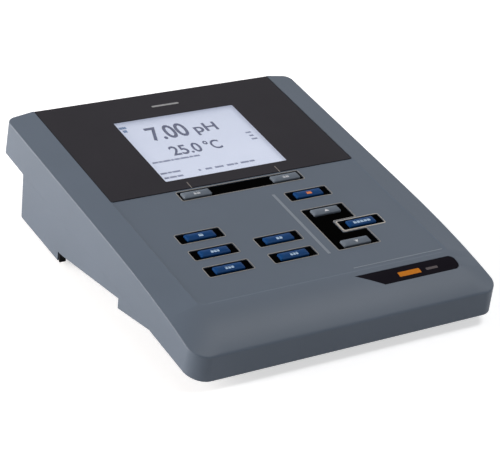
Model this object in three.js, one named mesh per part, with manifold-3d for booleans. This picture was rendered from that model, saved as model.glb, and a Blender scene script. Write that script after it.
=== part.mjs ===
// Benchtop pH and conductivity meter.
// Millimetres, +Z up, +Y to the rear, origin on the table under the middle of the housing.
//
// The upper shell is a slab of constant thickness that slopes down to the user. Pieces on it are
// placed in the slope frame (u, v, h): u to the right, v up the slope with 0 at the rear top edge,
// h square to the top face with 0 on it. Pieces of the lower body are placed in the level frame:
// y with 0 at the rear top edge, z from the table.

import * as THREE from "three";
import { mergeVertices } from "three/addons/utils/BufferGeometryUtils.js";
import Module from "manifold-3d";

const wasm = await Module();
wasm.setup();

// Housing
const WIDTH = 190;
const LENGTH = 222;
const SLOPE = THREE.MathUtils.degToRad(8);
const REAR_HEIGHT = 60;
const SLAB = 22.5;
const WALL = 2.5;
const TOP_WALL = 3;
const REAR_CORNER = 5;
const FRONT_CORNER = 10;
const EDGE = 1.2;
const FRONT_EDGE = 0.8;
const NOSE_RUN = 29;
const NOSE_DROP = 9;
const SHOULDER_WIDTH = 16.6;
const SHOULDER_DROP = 2.6;
const SHOULDER_BEND = 120;
const FIELD_DEPTH = 0.5;
const FIELD_CORNER = 5;

// Clearance between pieces that rest on or fit in each other
const SEAT = 0.3;
// Extra length of a cutting tool past the face it cuts
const PAST = 2;

// Lower body: distances along y from the rear top edge, or back from the front of the slab, and
// clearances above the table
const OVERHANG = 20.7;
const BODY_CORNER = 4;
const SIDE_WALL = 3.6;
const BODY_WALL = 2.5;
const BODY_LIP = 2.5;
const REAR_CLEARANCE = 7.2;
const HEEL_FRONT = 69.7;
const HEEL_CLEARANCE = 2;
const NOTCH_REAR_Z = 7.4;
const NOTCH_BELOW = 3.5;
const NOTCH_FLAT = 5.5;
const CHIN_BACK = 50;
const CHIN_RUN = 33;
const CHIN_DROP = 5.8;
const BELLY_INSET = 15;
const BELLY_REAR = 40;
const BELLY_BACK = 26;
const BELLY_RISE = 8;
const BELLY_CLEARANCE = 2.3;
const BELLY_FLOOR = 3.6;

// Display
const PANEL_WIDTH = 156.8;
const PANEL_DEPTH = 96.6;
const PANEL_THICK = 1.6;
const PANEL_SUNK = 0.2;
const PANEL_WRAP = 7.5;
const WINDOW_WIDTH = 79;
const WINDOW_REAR = 24.4;
const WINDOW_BORDER = 9.5;
const WINDOW_LIP = 0.4;
const WINDOW_LAP = 3;
const WINDOW_LEDGE = 4;
const WINDOW_CORNER = 0.8;
const CELL_BORDER = 4;
const CELL_FACE_BORDER = 3.4;
const CELL_THICK = 2;
const BACKLIGHT_THICK = 2.6;
const CARRIER_WALL = 2.7;

// Keys
const KEY_LENGTH = 17.6;
const KEY_DEPTH = 5.6;
const KEY_PROUD = 0.5;
const KEY_TRAVEL = 1;
const KEY_CORNER = 0.7;
const KEY_CHAMFER = 0.35;
const KEY_FLANGE = 1.5;
const KEY_FLANGE_THICK = 0.8;
const WELL_LENGTH = 27;
const WELL_DEPTH = 8.4;
const WELL_SUNK = 0.4;
const WELL_CORNER = 0.9;
const ROW_PITCH = 15.2;
const FUNCTION_GAP = 5.7;
const POWER_GAP = 18.1;
const FIRST_GAP = 36;
const LEFT_COLUMN = -46.8;
const MIDDLE_COLUMN = -7;
const RIGHT_COLUMN = 33;
const ENTER_COLUMN = 46.6;
const FUNCTION_SPAN = 57.6;
const FUNCTION_END = 1.7;
const ISLAND_RIM = 1.5;
const INSERT_THICK = 1.2;
const INSERT_MARGIN = 3;
const MAT_THICK = 0.9;
const DOME_RADIUS = 2.6;

// Boards
const BOARD_TOP = 9;
const BOARD_THICK = 1.6;
const BOARD_INSET = 19;
const BOARD_REAR = 14;
const BOARD_BACK = 36;
const POST_RADIUS = 3;
const POST_BORE = 1.3;
const POST_INSET = 5;
const MAIN_BOARD_INSET = 10;
const MAIN_BOARD_REAR = 42;
const MAIN_BOARD_FRONT = 112;
const MAIN_BOARD_LIFT = 2.6;
const BOARD_SCREW_RADIUS = 1;
const BOARD_SCREW_HEAD_RADIUS = 2.6;
const BOARD_SCREW_HEAD = 1.6;
const BOARD_SCREW_GRIP = 5;
const BOARD_HOLE = 1.6;
const PROCESSOR = { inset: 30, y: -90, length: 14, depth: 14, height: 1.6 };
const SHIELD = { inset: 32, y: -66, length: 34, depth: 26, height: 5 };
const CLOCK_CELL = { inset: 30, y: -60, radius: 8, height: 3.2 };
const RIBBON_HALF = 12;
const RIBBON_THICK = 0.8;
const RIBBON_UPPER_Y = -58;
const RIBBON_LOWER_Y = -50;
const RIBBON_SOCKET = 3.2;
const RIBBON_SOCKET_DEPTH = 5;
const RIBBON_SOCKET_LAP = 2;

// Batteries
const CELL_RADIUS = 7.1;
const CELL_LENGTH = 50;
const CELL_NUB = 1;
const CELL_NUB_RADIUS = 2.6;
const CELL_COUNT = 4;
const CELL_PITCH = 15;
const BAY_REAR = 45;
const BAY_WALL = 1.6;
const CONTACT_THICK = 0.5;
const CONTACT_GAP = 1.4;
const CONTACT_HEIGHT = 10;
const LEAF_WIDTH = 5;
const LEAF_HEIGHT = 3;
const LID_THICK = 2.3;
const LID_TONGUE = 1.5;
const LID_TONGUE_THICK = 1;
const LID_LAP = 2.5;
const GRIP_RIBS = 4;
const GRIP_HALF = 8;
const GRIP_START = 13;
const GRIP_PITCH = 2.6;
const GRIP_WIDTH = 1;
const GRIP_DEPTH = 0.7;

// Rear sockets. A turned socket has a barrel that stands out of its plate, a shoulder against the
// plate, a body behind it and a bore.
const SOCKET_Z = 20.4;
const SOCKET_PLATE_THICK = 1.5;
const SOCKET_PLATE_INSET = 17;
const SOCKET_PLATE_LOW = 9.4;
const SOCKET_PLATE_HIGH = 31.6;
const SOCKET_PLATE_LAP = 2;
const PLATE_RAIL = 2;
const PLATE_RAIL_GRIP = 1.5;
const SHOULDER_THICK = 2;
const SENSOR_SOCKET = {
  inset: 20,
  barrel: 7.6,
  shoulder: 8.6,
  body: 8.6,
  out: 8.5,
  inside: 7,
  bore: 6,
  boreDepth: 8,
  sides: 24,
};
const SENSOR_PINS = 8;
const SENSOR_PIN_CIRCLE = 4;
const SENSOR_PIN_RADIUS = 0.5;
const SENSOR_PIN_LENGTH = 2.5;
const ELECTRODE_SOCKET = {
  x: 17,
  barrel: 4.8,
  shoulder: 7.2,
  body: 6.6,
  out: 15,
  inside: 6,
  bore: 4.1,
  boreDepth: 12,
  sides: 24,
};
const LUG_RADIUS = 1;
const LUG_SPAN = 12;
const LUG_BACK = 3.5;
const CONTACT_DISC_RADIUS = 3.6;
const CONTACT_DISC_THICK = 2;
const CONTACT_PIN_RADIUS = 1.2;
const CONTACT_PIN_LENGTH = 9;
const PROBE_JACK_XS = [-26, -7];
const PROBE_JACK = {
  barrel: 4,
  shoulder: 5.2,
  body: 5.4,
  out: 7,
  inside: 9,
  bore: 2.1,
  boreDepth: 14,
  sides: 20,
};
const DATA_SOCKET_X = 43;
const DATA_SOCKET_WIDTH = 12;
const DATA_SOCKET_HEIGHT = 11;
const DATA_SOCKET_OUT = 2.5;
const DATA_SOCKET_INSIDE = 12;
const DATA_MOUTH_WIDTH = 8.4;
const DATA_MOUTH_HEIGHT = 7.8;
const DATA_MOUTH_DEPTH = 7.5;
const DATA_TONGUE_WIDTH = 5.6;
const DATA_TONGUE_HEIGHT = 3.2;
const DATA_TONGUE_BACK = 1;
const SUPPLY_SOCKET_INSET = 13;
const SUPPLY_RADIUS = 4.5;
const SUPPLY_BORE = 3;
const SUPPLY_BORE_DEPTH = 10;
const SUPPLY_PIN = 1;
const SUPPLY_PIN_BACK = 1.4;
const SUPPLY_OUT = 2.2;
const SUPPLY_BODY_HEIGHT = 11;
const SUPPLY_BODY_DEPTH = 12;

// Fasteners and feet
const SCREW_INSET = 11.5;
const SCREW_REAR = 43;
const SCREW_BACK = 59;
const SCREW_RADIUS = 1.4;
const SCREW_HEAD_RADIUS = 2.9;
const SCREW_HEAD = 2.2;
const SCREW_LENGTH = 13;
const SCREW_REACH = 10;
const BOSS_RADIUS = 5;
const SCREW_PLAY = 0.3;
const FOOT_RADIUS = 7;
const FOOT_INSET = 18;
const FOOT_BACK = 12;
const HEEL_PAD_WIDTH = 12;
const HEEL_PAD_LENGTH = 9;
const HEEL_PAD_BACK = 4;
const HEEL_PAD_INSET = 2.6;
const HEEL_TONGUE_WIDTH = 4;
const HEEL_TONGUE_THICK = 1.2;
const HEEL_TONGUE_INSET = 0.6;
const HEEL_STRIP = 0.6;

// Badge and marks
const BADGE_THICK = 0.7;
const BADGE_LEFT = 14.5;
const BADGE_RIGHT = 76.5;
const BADGE_DEPTH = 11.2;
const BADGE_BACK = 14;
const BADGE_SLANT = 13.5;
const BADGE_CORNER = 3.5;

// Height from the table, at a place y, of a line that lies a depth below the top face
function heightOnSlope(y, depth) {
  return REAR_HEIGHT + y * Math.tan(SLOPE) - depth / Math.cos(SLOPE);
}

// Worked out once from the sizes above
const HALF = WIDTH / 2;
const SHOULDER = HALF - SHOULDER_WIDTH;
const FIELD_FRONT = LENGTH - NOSE_RUN;
const CHIN_END = LENGTH - CHIN_BACK;
const NOTCH_FRONT = CHIN_END - CHIN_RUN;
const CHIN_ROOF = heightOnSlope(-NOTCH_FRONT, SLAB + SEAT) - NOTCH_BELOW;
const BELLY_HALF = HALF - BELLY_INSET;
const BELLY_FRONT = LENGTH - BELLY_BACK;
const BADGE_FRONT = LENGTH - BADGE_BACK;
const BADGE_REAR = BADGE_FRONT - BADGE_DEPTH;
const FUNCTION_ROW = PANEL_DEPTH + FUNCTION_GAP;
const POWER_ROW = FUNCTION_ROW + POWER_GAP;
const FIRST_ROW = FUNCTION_ROW + FIRST_GAP;
const LAST_ROW = FIRST_ROW + 2 * ROW_PITCH;
const BOARD_HALF = HALF - BOARD_INSET;
const BOARD_FRONT = LENGTH - BOARD_BACK;
const MAIN_BOARD_HALF = BELLY_HALF - MAIN_BOARD_INSET;
const SOCKET_PLATE_HALF = HALF - SOCKET_PLATE_INSET;
const SENSOR_SOCKET_X = SENSOR_SOCKET.inset - SOCKET_PLATE_HALF;
const SUPPLY_SOCKET_X = SOCKET_PLATE_HALF - SUPPLY_SOCKET_INSET;
const SCREW_U = HALF - SCREW_INSET;
const NOSE_RADIUS = (NOSE_RUN ** 2 + NOSE_DROP ** 2) / (2 * NOSE_DROP);
const FRONT_Y = -(LENGTH * Math.cos(SLOPE) - NOSE_DROP * Math.sin(SLOPE));
const REAR_Y = SLAB * Math.sin(SLOPE);
const MIDDLE_Y = (FRONT_Y + REAR_Y) / 2;
const INSERT_TOP = TOP_WALL + SEAT;
const FLANGE_TOP = INSERT_TOP + INSERT_THICK + SEAT;
const PANEL_SEAT = PANEL_SUNK + PANEL_THICK + SEAT;
const WELL_FLOOR = FIELD_DEPTH + WELL_SUNK;
const LIP_TOP = SLAB - BODY_LIP;
const WINDOW_DEPTH = PANEL_DEPTH - WINDOW_REAR - WINDOW_BORDER;
const WINDOW_MIDDLE = WINDOW_REAR + WINDOW_DEPTH / 2;

// Colours
const SHELL_COLOUR = 0x5f6873;
const PANEL_COLOUR = 0x2d2c31;
const BLACK_PLASTIC = 0x0c0c0e;
const KEY_BLUE = 0x1a4a8c;
const KEY_GREY = 0x8f969e;
const BOARD_GREEN = 0x1d5a34;
const CHIP_BLACK = 0x17181a;
const RUBBER_BLACK = 0x151516;
const STEEL = 0xb8bcc0;

const root = new THREE.Group();
const level = new THREE.Group();
const slope = new THREE.Group();
level.position.y = -MIDDLE_Y;
slope.position.set(0, -MIDDLE_Y, REAR_HEIGHT);
slope.rotation.x = SLOPE;
root.add(level, slope);

// A closed three.js geometry as a solid
function solid(geometry) {
  const plain = geometry.clone();
  plain.deleteAttribute("normal");
  plain.deleteAttribute("uv");
  const merged = mergeVertices(plain, 1e-4);
  return new wasm.Manifold(
    new wasm.Mesh({
      numProp: 3,
      vertProperties: new Float32Array(merged.attributes.position.array),
      triVerts: new Uint32Array(merged.index.array),
    }),
  );
}

// A solid back as a named mesh in one of the two frames
function piece(name, shape, colour, roughness, metalness = 0, frame = slope) {
  const data = shape.getMesh();
  const geometry = new THREE.BufferGeometry();
  geometry.setAttribute("position", new THREE.BufferAttribute(data.vertProperties, 3));
  geometry.setIndex(new THREE.BufferAttribute(data.triVerts, 1));
  geometry.computeVertexNormals();
  const material = new THREE.MeshStandardMaterial({ color: colour, roughness, metalness });
  const mesh = new THREE.Mesh(geometry, material);
  mesh.name = name;
  frame.add(mesh);
  return mesh;
}

function join(shapes) {
  return shapes.reduce((all, one) => all.add(one));
}

function cut(shape, tools) {
  return tools.reduce((rest, tool) => rest.subtract(tool), shape);
}

function box(x0, x1, y0, y1, z0, z1) {
  const geometry = new THREE.BoxGeometry(x1 - x0, y1 - y0, z1 - z0);
  geometry.translate((x0 + x1) / 2, (y0 + y1) / 2, (z0 + z1) / 2);
  return solid(geometry);
}

// A cylinder along z, y or x, from one end to the other
function rod(radius, from, to, at, axis = "z", sides = 20) {
  const geometry = new THREE.CylinderGeometry(radius, radius, to - from, sides);
  geometry.translate(0, (from + to) / 2, 0);
  if (axis === "z") {
    geometry.rotateX(Math.PI / 2);
    geometry.translate(at[0], at[1], 0);
  } else if (axis === "y") {
    geometry.translate(at[0], 0, at[1]);
  } else {
    geometry.rotateZ(-Math.PI / 2);
    geometry.translate(0, at[0], at[1]);
  }
  return solid(geometry);
}

// A rectangle with round corners as a shape, centred on a point
function roundedRectangle(length, depth, corner, x = 0, y = 0) {
  const shape = new THREE.Shape();
  const [left, right] = [x - length / 2, x + length / 2];
  const [front, rear] = [y - depth / 2, y + depth / 2];
  shape.moveTo(left + corner, front);
  shape.lineTo(right - corner, front);
  shape.absarc(right - corner, front + corner, corner, -Math.PI / 2, 0);
  shape.lineTo(right, rear - corner);
  shape.absarc(right - corner, rear - corner, corner, 0, Math.PI / 2);
  shape.lineTo(left + corner, rear);
  shape.absarc(left + corner, rear - corner, corner, Math.PI / 2, Math.PI);
  shape.lineTo(left, front + corner);
  shape.absarc(left + corner, front + corner, corner, Math.PI, 1.5 * Math.PI);
  return shape;
}

// A shape drawn in plan, raised from one height to another
function raised(shape, from, to, curveSegments = 2) {
  const geometry = new THREE.ExtrudeGeometry(shape, {
    depth: to - from,
    bevelEnabled: false,
    curveSegments,
  });
  geometry.translate(0, 0, from);
  return solid(geometry);
}

// A profile drawn in (y, z), drawn out along x
function drawnOut(points, x0, x1) {
  const shape = new THREE.Shape(points.map(([y, z]) => new THREE.Vector2(y, z)));
  const geometry = new THREE.ExtrudeGeometry(shape, { depth: x1 - x0, bevelEnabled: false });
  geometry.rotateY(Math.PI / 2);
  geometry.rotateX(Math.PI / 2);
  geometry.translate(x0, 0, 0);
  return solid(geometry);
}

// Depth of the nose's roll-off below the flat top, at a place down the slope
function noseDrop(v) {
  const past = Math.max(0, -v - (LENGTH - NOSE_RUN));
  return NOSE_RADIUS - Math.sqrt(NOSE_RADIUS ** 2 - Math.min(past, NOSE_RUN) ** 2);
}

// Depth of the top's edge below the flat, at a place down the side: the margins fall away to the
// sides, a little at the rear and ever more towards the nose
function sideDrop(v) {
  const past = Math.max(0, -v - SHOULDER_BEND) / (LENGTH - SHOULDER_BEND);
  return SHOULDER_DROP + (NOSE_DROP - SHOULDER_DROP) * past ** 2.5;
}

// Depth of the top face below the flat, at any place on the slab
function topDrop(u, v) {
  const outward = Math.max(0, Math.abs(u) - SHOULDER) / SHOULDER_WIDTH;
  return THREE.MathUtils.lerp(noseDrop(v), sideDrop(v), outward);
}

// Half of the slab's plan outline, from the rear to the nose along the right side. Each point has
// its outward normal and the radius that the top edge has there.
function slabHalfOutline() {
  const steps = 6;
  const points = [{ place: [SHOULDER, 0], normal: [0, 1], edge: FRONT_EDGE }];
  for (let i = 0; i <= steps; i++) {
    const angle = Math.PI / 2 - (i / steps) * (Math.PI / 2);
    const normal = [Math.cos(angle), Math.sin(angle)];
    points.push({
      place: [HALF - REAR_CORNER + REAR_CORNER * normal[0], -REAR_CORNER + REAR_CORNER * normal[1]],
      normal,
      edge: THREE.MathUtils.lerp(FRONT_EDGE, EDGE, i / steps),
    });
  }
  const sideEnd = LENGTH - FRONT_CORNER;
  const bends = [0, 0.35, 0.65].map((share) => THREE.MathUtils.lerp(SHOULDER_BEND, FIELD_FRONT, share));
  const rolls = [0, 0.25, 0.5, 0.75].map((share) => THREE.MathUtils.lerp(FIELD_FRONT, sideEnd, share));
  for (const along of [...bends, ...rolls]) {
    points.push({ place: [HALF, -along], normal: [1, 0], edge: EDGE });
  }
  for (let i = 0; i <= steps; i++) {
    const angle = -(i / steps) * (Math.PI / 2);
    const normal = [Math.cos(angle), Math.sin(angle)];
    points.push({
      place: [HALF - FRONT_CORNER + FRONT_CORNER * normal[0], -sideEnd + FRONT_CORNER * normal[1]],
      normal,
      edge: THREE.MathUtils.lerp(EDGE, FRONT_EDGE, i / steps),
    });
  }
  points.push({ place: [SHOULDER, -LENGTH], normal: [0, -1], edge: FRONT_EDGE });
  return points;
}

// The slab's outer form, or the same form drawn in by a wall and lowered, down to a given depth.
// Rings of the outline run from the bottom over the rounded top edge, and each cap has a line of
// inner points along both shoulders, where the flat of the top ends. The front face stands upright
// on the table, so it leans against the slope frame.
function slabForm({ inset = 0, lowered = 0, depth = SLAB }) {
  const half = slabHalfOutline();
  const outline = [
    ...half,
    ...half.toReversed().map((point) => ({
      place: [-point.place[0], point.place[1]],
      normal: [-point.normal[0], point.normal[1]],
      edge: point.edge,
    })),
  ];
  const rounds = [0, 30, 60, 90];
  const positions = [];
  const addRing = (round) => {
    for (const { place, normal, edge } of outline) {
      const radius = Math.max(0.2, edge - inset);
      const drawIn = inset + (round === null ? 0 : radius * (1 - Math.cos(round)));
      const u = place[0] - normal[0] * drawIn;
      const v = place[1] - normal[1] * drawIn;
      const h =
        round === null ? -depth : -topDrop(u, v) - lowered - radius * (1 - Math.sin(round));
      const lean = Math.max(0, -normal[1]) * (-h - NOSE_DROP) * Math.tan(SLOPE);
      positions.push(u, v - lean, h);
    }
  };
  addRing(null);
  for (const degrees of rounds) addRing(THREE.MathUtils.degToRad(degrees));
  const count = outline.length;
  const faces = [];
  for (let ring = 0; ring < rounds.length; ring++) {
    for (let i = 0; i < count; i++) {
      const a = ring * count + i;
      const b = ring * count + ((i + 1) % count);
      faces.push(a, a + count, b, b, a + count, b + count);
    }
  }
  const addCap = (ring, height, upward) => {
    const at = ring * count;
    const inner = positions.length / 3;
    for (let i = 2; i < half.length - 2; i++) {
      const v = positions[3 * (at + i) + 1];
      positions.push(SHOULDER, v, height(v), -SHOULDER, v, height(v));
    }
    const row = (i) => {
      const [right, left] = [at + i, at + count - 1 - i];
      if (i === 1) return [left, left + 1, right - 1, right];
      if (i === half.length - 2) return [left, left - 1, right + 1, right];
      return [left, inner + 2 * i - 3, inner + 2 * i - 4, right];
    };
    for (let i = 1; i < half.length - 2; i++) {
      for (let j = 0; j < 3; j++) {
        const [a, b] = row(i).slice(j, j + 2);
        const [c, d] = row(i + 1).slice(j, j + 2);
        faces.push(...(upward ? [b, a, d, a, c, d] : [a, b, d, a, d, c]));
      }
    }
  };
  addCap(0, () => -depth, false);
  addCap(rounds.length, (v) => -noseDrop(v) - lowered, true);
  const geometry = new THREE.BufferGeometry();
  geometry.setAttribute("position", new THREE.Float32BufferAttribute(positions, 3));
  geometry.setIndex(faces);
  return solid(geometry);
}

// Where each key sits on the slope: name, column, row and colour
const KEYS = [
  ["function_key_left", -FUNCTION_SPAN / 2, FUNCTION_ROW, KEY_GREY],
  ["function_key_right", FUNCTION_SPAN / 2, FUNCTION_ROW, KEY_GREY],
  ["power_key", RIGHT_COLUMN, POWER_ROW, KEY_BLUE],
  ["measure_key", LEFT_COLUMN, FIRST_ROW, KEY_BLUE],
  ["calibrate_key", LEFT_COLUMN, FIRST_ROW + ROW_PITCH, KEY_BLUE],
  ["store_key", LEFT_COLUMN, LAST_ROW, KEY_BLUE],
  ["hold_key", MIDDLE_COLUMN, FIRST_ROW + ROW_PITCH, KEY_BLUE],
  ["recall_key", MIDDLE_COLUMN, LAST_ROW, KEY_BLUE],
  ["up_key", RIGHT_COLUMN, FIRST_ROW, KEY_GREY],
  ["enter_key", ENTER_COLUMN, FIRST_ROW + ROW_PITCH, KEY_BLUE],
  ["down_key", RIGHT_COLUMN, LAST_ROW, KEY_GREY],
];

// The shapes of the openings that the keys show through, drawn in by a clearance: one for each
// single key, a long one for the function keys, and a C round the enter key for the arrow keys.
function wellShapes(clear) {
  const single = KEYS.filter(([name]) => !/^(function|up|down)/.test(name)).map(([, u, row]) =>
    roundedRectangle(WELL_LENGTH - 2 * clear, WELL_DEPTH - 2 * clear, WELL_CORNER, u, -row),
  );
  const slot = roundedRectangle(
    FUNCTION_SPAN + KEY_LENGTH + 2 * (FUNCTION_END - clear),
    WELL_DEPTH - 2 * clear,
    WELL_CORNER,
    0,
    -FUNCTION_ROW,
  );
  const left = RIGHT_COLUMN - WELL_LENGTH / 2 + clear;
  const right = RIGHT_COLUMN + WELL_LENGTH / 2 - clear;
  const rear = -FIRST_ROW + WELL_DEPTH / 2 - clear;
  const front = -LAST_ROW - WELL_DEPTH / 2 + clear;
  const islandLeft = ENTER_COLUMN - WELL_LENGTH / 2 - ISLAND_RIM - clear;
  const islandRear = -(FIRST_ROW + ROW_PITCH) + WELL_DEPTH / 2 + ISLAND_RIM + clear;
  const islandFront = -(FIRST_ROW + ROW_PITCH) - WELL_DEPTH / 2 - ISLAND_RIM - clear;
  const arrows = new THREE.Shape();
  arrows.moveTo(left, front);
  arrows.lineTo(right, front);
  arrows.lineTo(right, islandFront);
  arrows.lineTo(islandLeft, islandFront);
  arrows.lineTo(islandLeft, islandRear);
  arrows.lineTo(right, islandRear);
  arrows.lineTo(right, rear);
  arrows.lineTo(left, rear);
  arrows.closePath();
  return [...single, slot, arrows];
}

// The badge's outline: a bar with a slanted left end and one round corner, grown by a clearance
function badgeShape(clear) {
  const shape = new THREE.Shape();
  const rear = -BADGE_REAR + clear;
  const front = -BADGE_FRONT - clear;
  const right = BADGE_RIGHT + clear;
  shape.moveTo(BADGE_LEFT - 2 * clear, rear);
  shape.lineTo(BADGE_LEFT + BADGE_SLANT - clear, front);
  shape.lineTo(right - BADGE_CORNER, front);
  shape.absarc(right - BADGE_CORNER, front + BADGE_CORNER, BADGE_CORNER, -Math.PI / 2, 0);
  shape.absarc(right - BADGE_CORNER, rear - BADGE_CORNER, BADGE_CORNER, 0, Math.PI / 2);
  shape.closePath();
  return shape;
}

// Mirrored pairs of places, one pair for each row
function pairs(spread, rows) {
  return rows.flatMap((row) => [
    [-spread, -row],
    [spread, -row],
  ]);
}

const postPlaces = pairs(BOARD_HALF - POST_INSET, [BOARD_REAR + POST_INSET, BOARD_FRONT - POST_INSET]);
const screwPlaces = pairs(SCREW_U, [SCREW_REAR, LENGTH - SCREW_BACK]);
const mainPostPlaces = pairs(MAIN_BOARD_HALF - POST_INSET, [
  MAIN_BOARD_REAR + POST_INSET,
  MAIN_BOARD_FRONT - POST_INSET,
]);

// Upper shell: the sloping slab with its panel recess, key openings, board posts and screw bosses
function upperShell() {
  const hollow = slabForm({ inset: WALL, lowered: TOP_WALL, depth: SLAB + PAST });
  const shell = slabForm({}).subtract(hollow);
  const rooted = SEAT - TOP_WALL;
  const posts = postPlaces.map((at) => rod(POST_RADIUS, -BOARD_TOP + SEAT, rooted, at, "z", 14));
  const bosses = screwPlaces.map((at) => rod(BOSS_RADIUS, -LIP_TOP + SEAT, rooted, at, "z", 16));
  const panelHalf = PANEL_WIDTH / 2;
  const recess = box(-panelHalf, panelHalf, -PANEL_DEPTH, PAST, -PANEL_SEAT, PAST);
  const wrap = box(-panelHalf, panelHalf, -PANEL_SEAT, PAST, -PANEL_WRAP, PAST);
  const field = raised(
    roundedRectangle(
      PANEL_WIDTH,
      FIELD_FRONT - PANEL_DEPTH + FIELD_CORNER,
      FIELD_CORNER,
      0,
      -(FIELD_FRONT + PANEL_DEPTH - FIELD_CORNER) / 2,
    ),
    -FIELD_DEPTH,
    PAST,
    4,
  );
  const view = box(
    -WINDOW_WIDTH / 2 - WINDOW_LEDGE,
    WINDOW_WIDTH / 2 + WINDOW_LEDGE,
    -WINDOW_REAR - WINDOW_DEPTH - WINDOW_LEDGE,
    -WINDOW_REAR + WINDOW_LEDGE,
    -TOP_WALL - PAST,
    0,
  );
  const wells = wellShapes(0).map((shape) => raised(shape, -TOP_WALL - PAST, PAST));
  const badge = raised(badgeShape(SEAT), -TOP_WALL - PAST, PAST, 4).subtract(
    slabForm({ lowered: BADGE_THICK + SEAT }),
  );
  const postBores = postPlaces.map((at) => rod(POST_BORE, -BOARD_TOP - PAST, -TOP_WALL - 1, at, "z", 8));
  const screwBores = screwPlaces.map((at) =>
    rod(SCREW_RADIUS + SCREW_PLAY / 2, -SLAB - PAST, 1 - SCREW_REACH, at, "z", 8),
  );
  return cut(join([shell, ...posts, ...bosses]), [
    recess,
    wrap,
    field,
    view,
    ...wells,
    badge,
    ...postBores,
    ...screwBores,
  ]);
}

// Display panel: a dark plate flush with the top, bent over the rear edge
function displayPanel() {
  const half = PANEL_WIDTH / 2 - SEAT;
  const form = slabForm({ inset: PANEL_SUNK, lowered: PANEL_SUNK });
  const flat = box(-half, half, -PANEL_DEPTH + SEAT, PAST, -PANEL_SUNK - PANEL_THICK, PAST);
  const lip = box(-half, half, -PANEL_SUNK - PANEL_THICK, PAST, -PANEL_WRAP + SEAT, PAST);
  const view = raised(
    roundedRectangle(WINDOW_WIDTH, WINDOW_DEPTH, WINDOW_CORNER, 0, -WINDOW_MIDDLE),
    -PANEL_SEAT - PAST,
    PAST,
  );
  const rebate = windowPane(WINDOW_LAP + SEAT, -PANEL_SEAT - PAST, -PANEL_SUNK - WINDOW_LIP);
  return form.intersect(flat.add(lip)).subtract(view).subtract(rebate);
}

// A pane as large as the panel's opening with a lap all round, between two heights
function windowPane(lap, low, high) {
  const length = WINDOW_WIDTH + 2 * lap;
  const depth = WINDOW_DEPTH + 2 * lap;
  return raised(roundedRectangle(length, depth, WINDOW_CORNER + lap, 0, -WINDOW_MIDDLE), low, high);
}

// Display window: the clear pane under the lip of the panel's opening
function displayWindow() {
  return windowPane(WINDOW_LAP, -PANEL_SUNK - PANEL_THICK, -PANEL_SUNK - WINDOW_LIP - SEAT);
}

// The display's glass cell and, one size up, the frame that carries it
function displayBlock(border, top, thick) {
  const u = WINDOW_WIDTH / 2 + border;
  const v = WINDOW_DEPTH / 2 + border;
  return box(-u, u, -WINDOW_MIDDLE - v, -WINDOW_MIDDLE + v, -top - thick, -top);
}

// Display cell: a glass plate in the carrier, its lit face raised through the opening to the window
function displayCell() {
  const plateTop = INSERT_TOP + SEAT;
  const plate = displayBlock(CELL_BORDER, plateTop, CELL_THICK);
  return plate.add(displayBlock(CELL_FACE_BORDER, PANEL_SEAT, plateTop + CELL_THICK / 2 - PANEL_SEAT));
}

function displayCarrier() {
  const top = TOP_WALL + SEAT;
  const outside = displayBlock(CELL_BORDER + CARRIER_WALL, top, BOARD_TOP - SEAT - top);
  const inside = displayBlock(CELL_BORDER + SEAT, top - PAST, BOARD_TOP + 2 * PAST);
  return outside.subtract(inside);
}

// Key insert: the black plate under the key openings, with a raised island in each of them
function keyInsert() {
  const plate = box(
    LEFT_COLUMN - WELL_LENGTH / 2 - INSERT_MARGIN,
    -LEFT_COLUMN + WELL_LENGTH / 2 + INSERT_MARGIN,
    -LAST_ROW - WELL_DEPTH / 2 - INSERT_MARGIN,
    -FUNCTION_ROW + WELL_DEPTH / 2 + INSERT_MARGIN / 2,
    -INSERT_TOP - INSERT_THICK,
    -INSERT_TOP,
  );
  const islands = wellShapes(SEAT).map((shape) => raised(shape, -INSERT_TOP - SEAT, -WELL_FLOOR));
  const holes = KEYS.map(([, u, row]) =>
    raised(
      roundedRectangle(KEY_LENGTH + 2 * SEAT, KEY_DEPTH + 2 * SEAT, KEY_CORNER, u, -row),
      -INSERT_TOP - INSERT_THICK - PAST,
      PAST,
    ),
  );
  return cut(join([plate, ...islands]), holes);
}

// One key: a cap with a chamfered top and the flange that keeps it under the insert
function key(u, row) {
  const length = KEY_LENGTH - 2 * KEY_CHAMFER;
  const depth = KEY_DEPTH - 2 * KEY_CHAMFER;
  const foot = FLANGE_TOP + KEY_FLANGE_THICK / 2;
  const geometry = new THREE.ExtrudeGeometry(roundedRectangle(length, depth, KEY_CORNER, u, -row), {
    depth: KEY_PROUD + foot - 2 * KEY_CHAMFER,
    bevelEnabled: true,
    bevelThickness: KEY_CHAMFER,
    bevelSize: KEY_CHAMFER,
    bevelSegments: 1,
    curveSegments: 2,
  });
  geometry.translate(0, 0, KEY_CHAMFER - foot);
  const flange = box(
    u - KEY_LENGTH / 2 - KEY_FLANGE,
    u + KEY_LENGTH / 2 + KEY_FLANGE,
    -row - KEY_DEPTH / 2 - KEY_FLANGE,
    -row + KEY_DEPTH / 2 + KEY_FLANGE,
    -FLANGE_TOP - KEY_FLANGE_THICK,
    -FLANGE_TOP,
  );
  return solid(geometry).add(flange);
}

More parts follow.
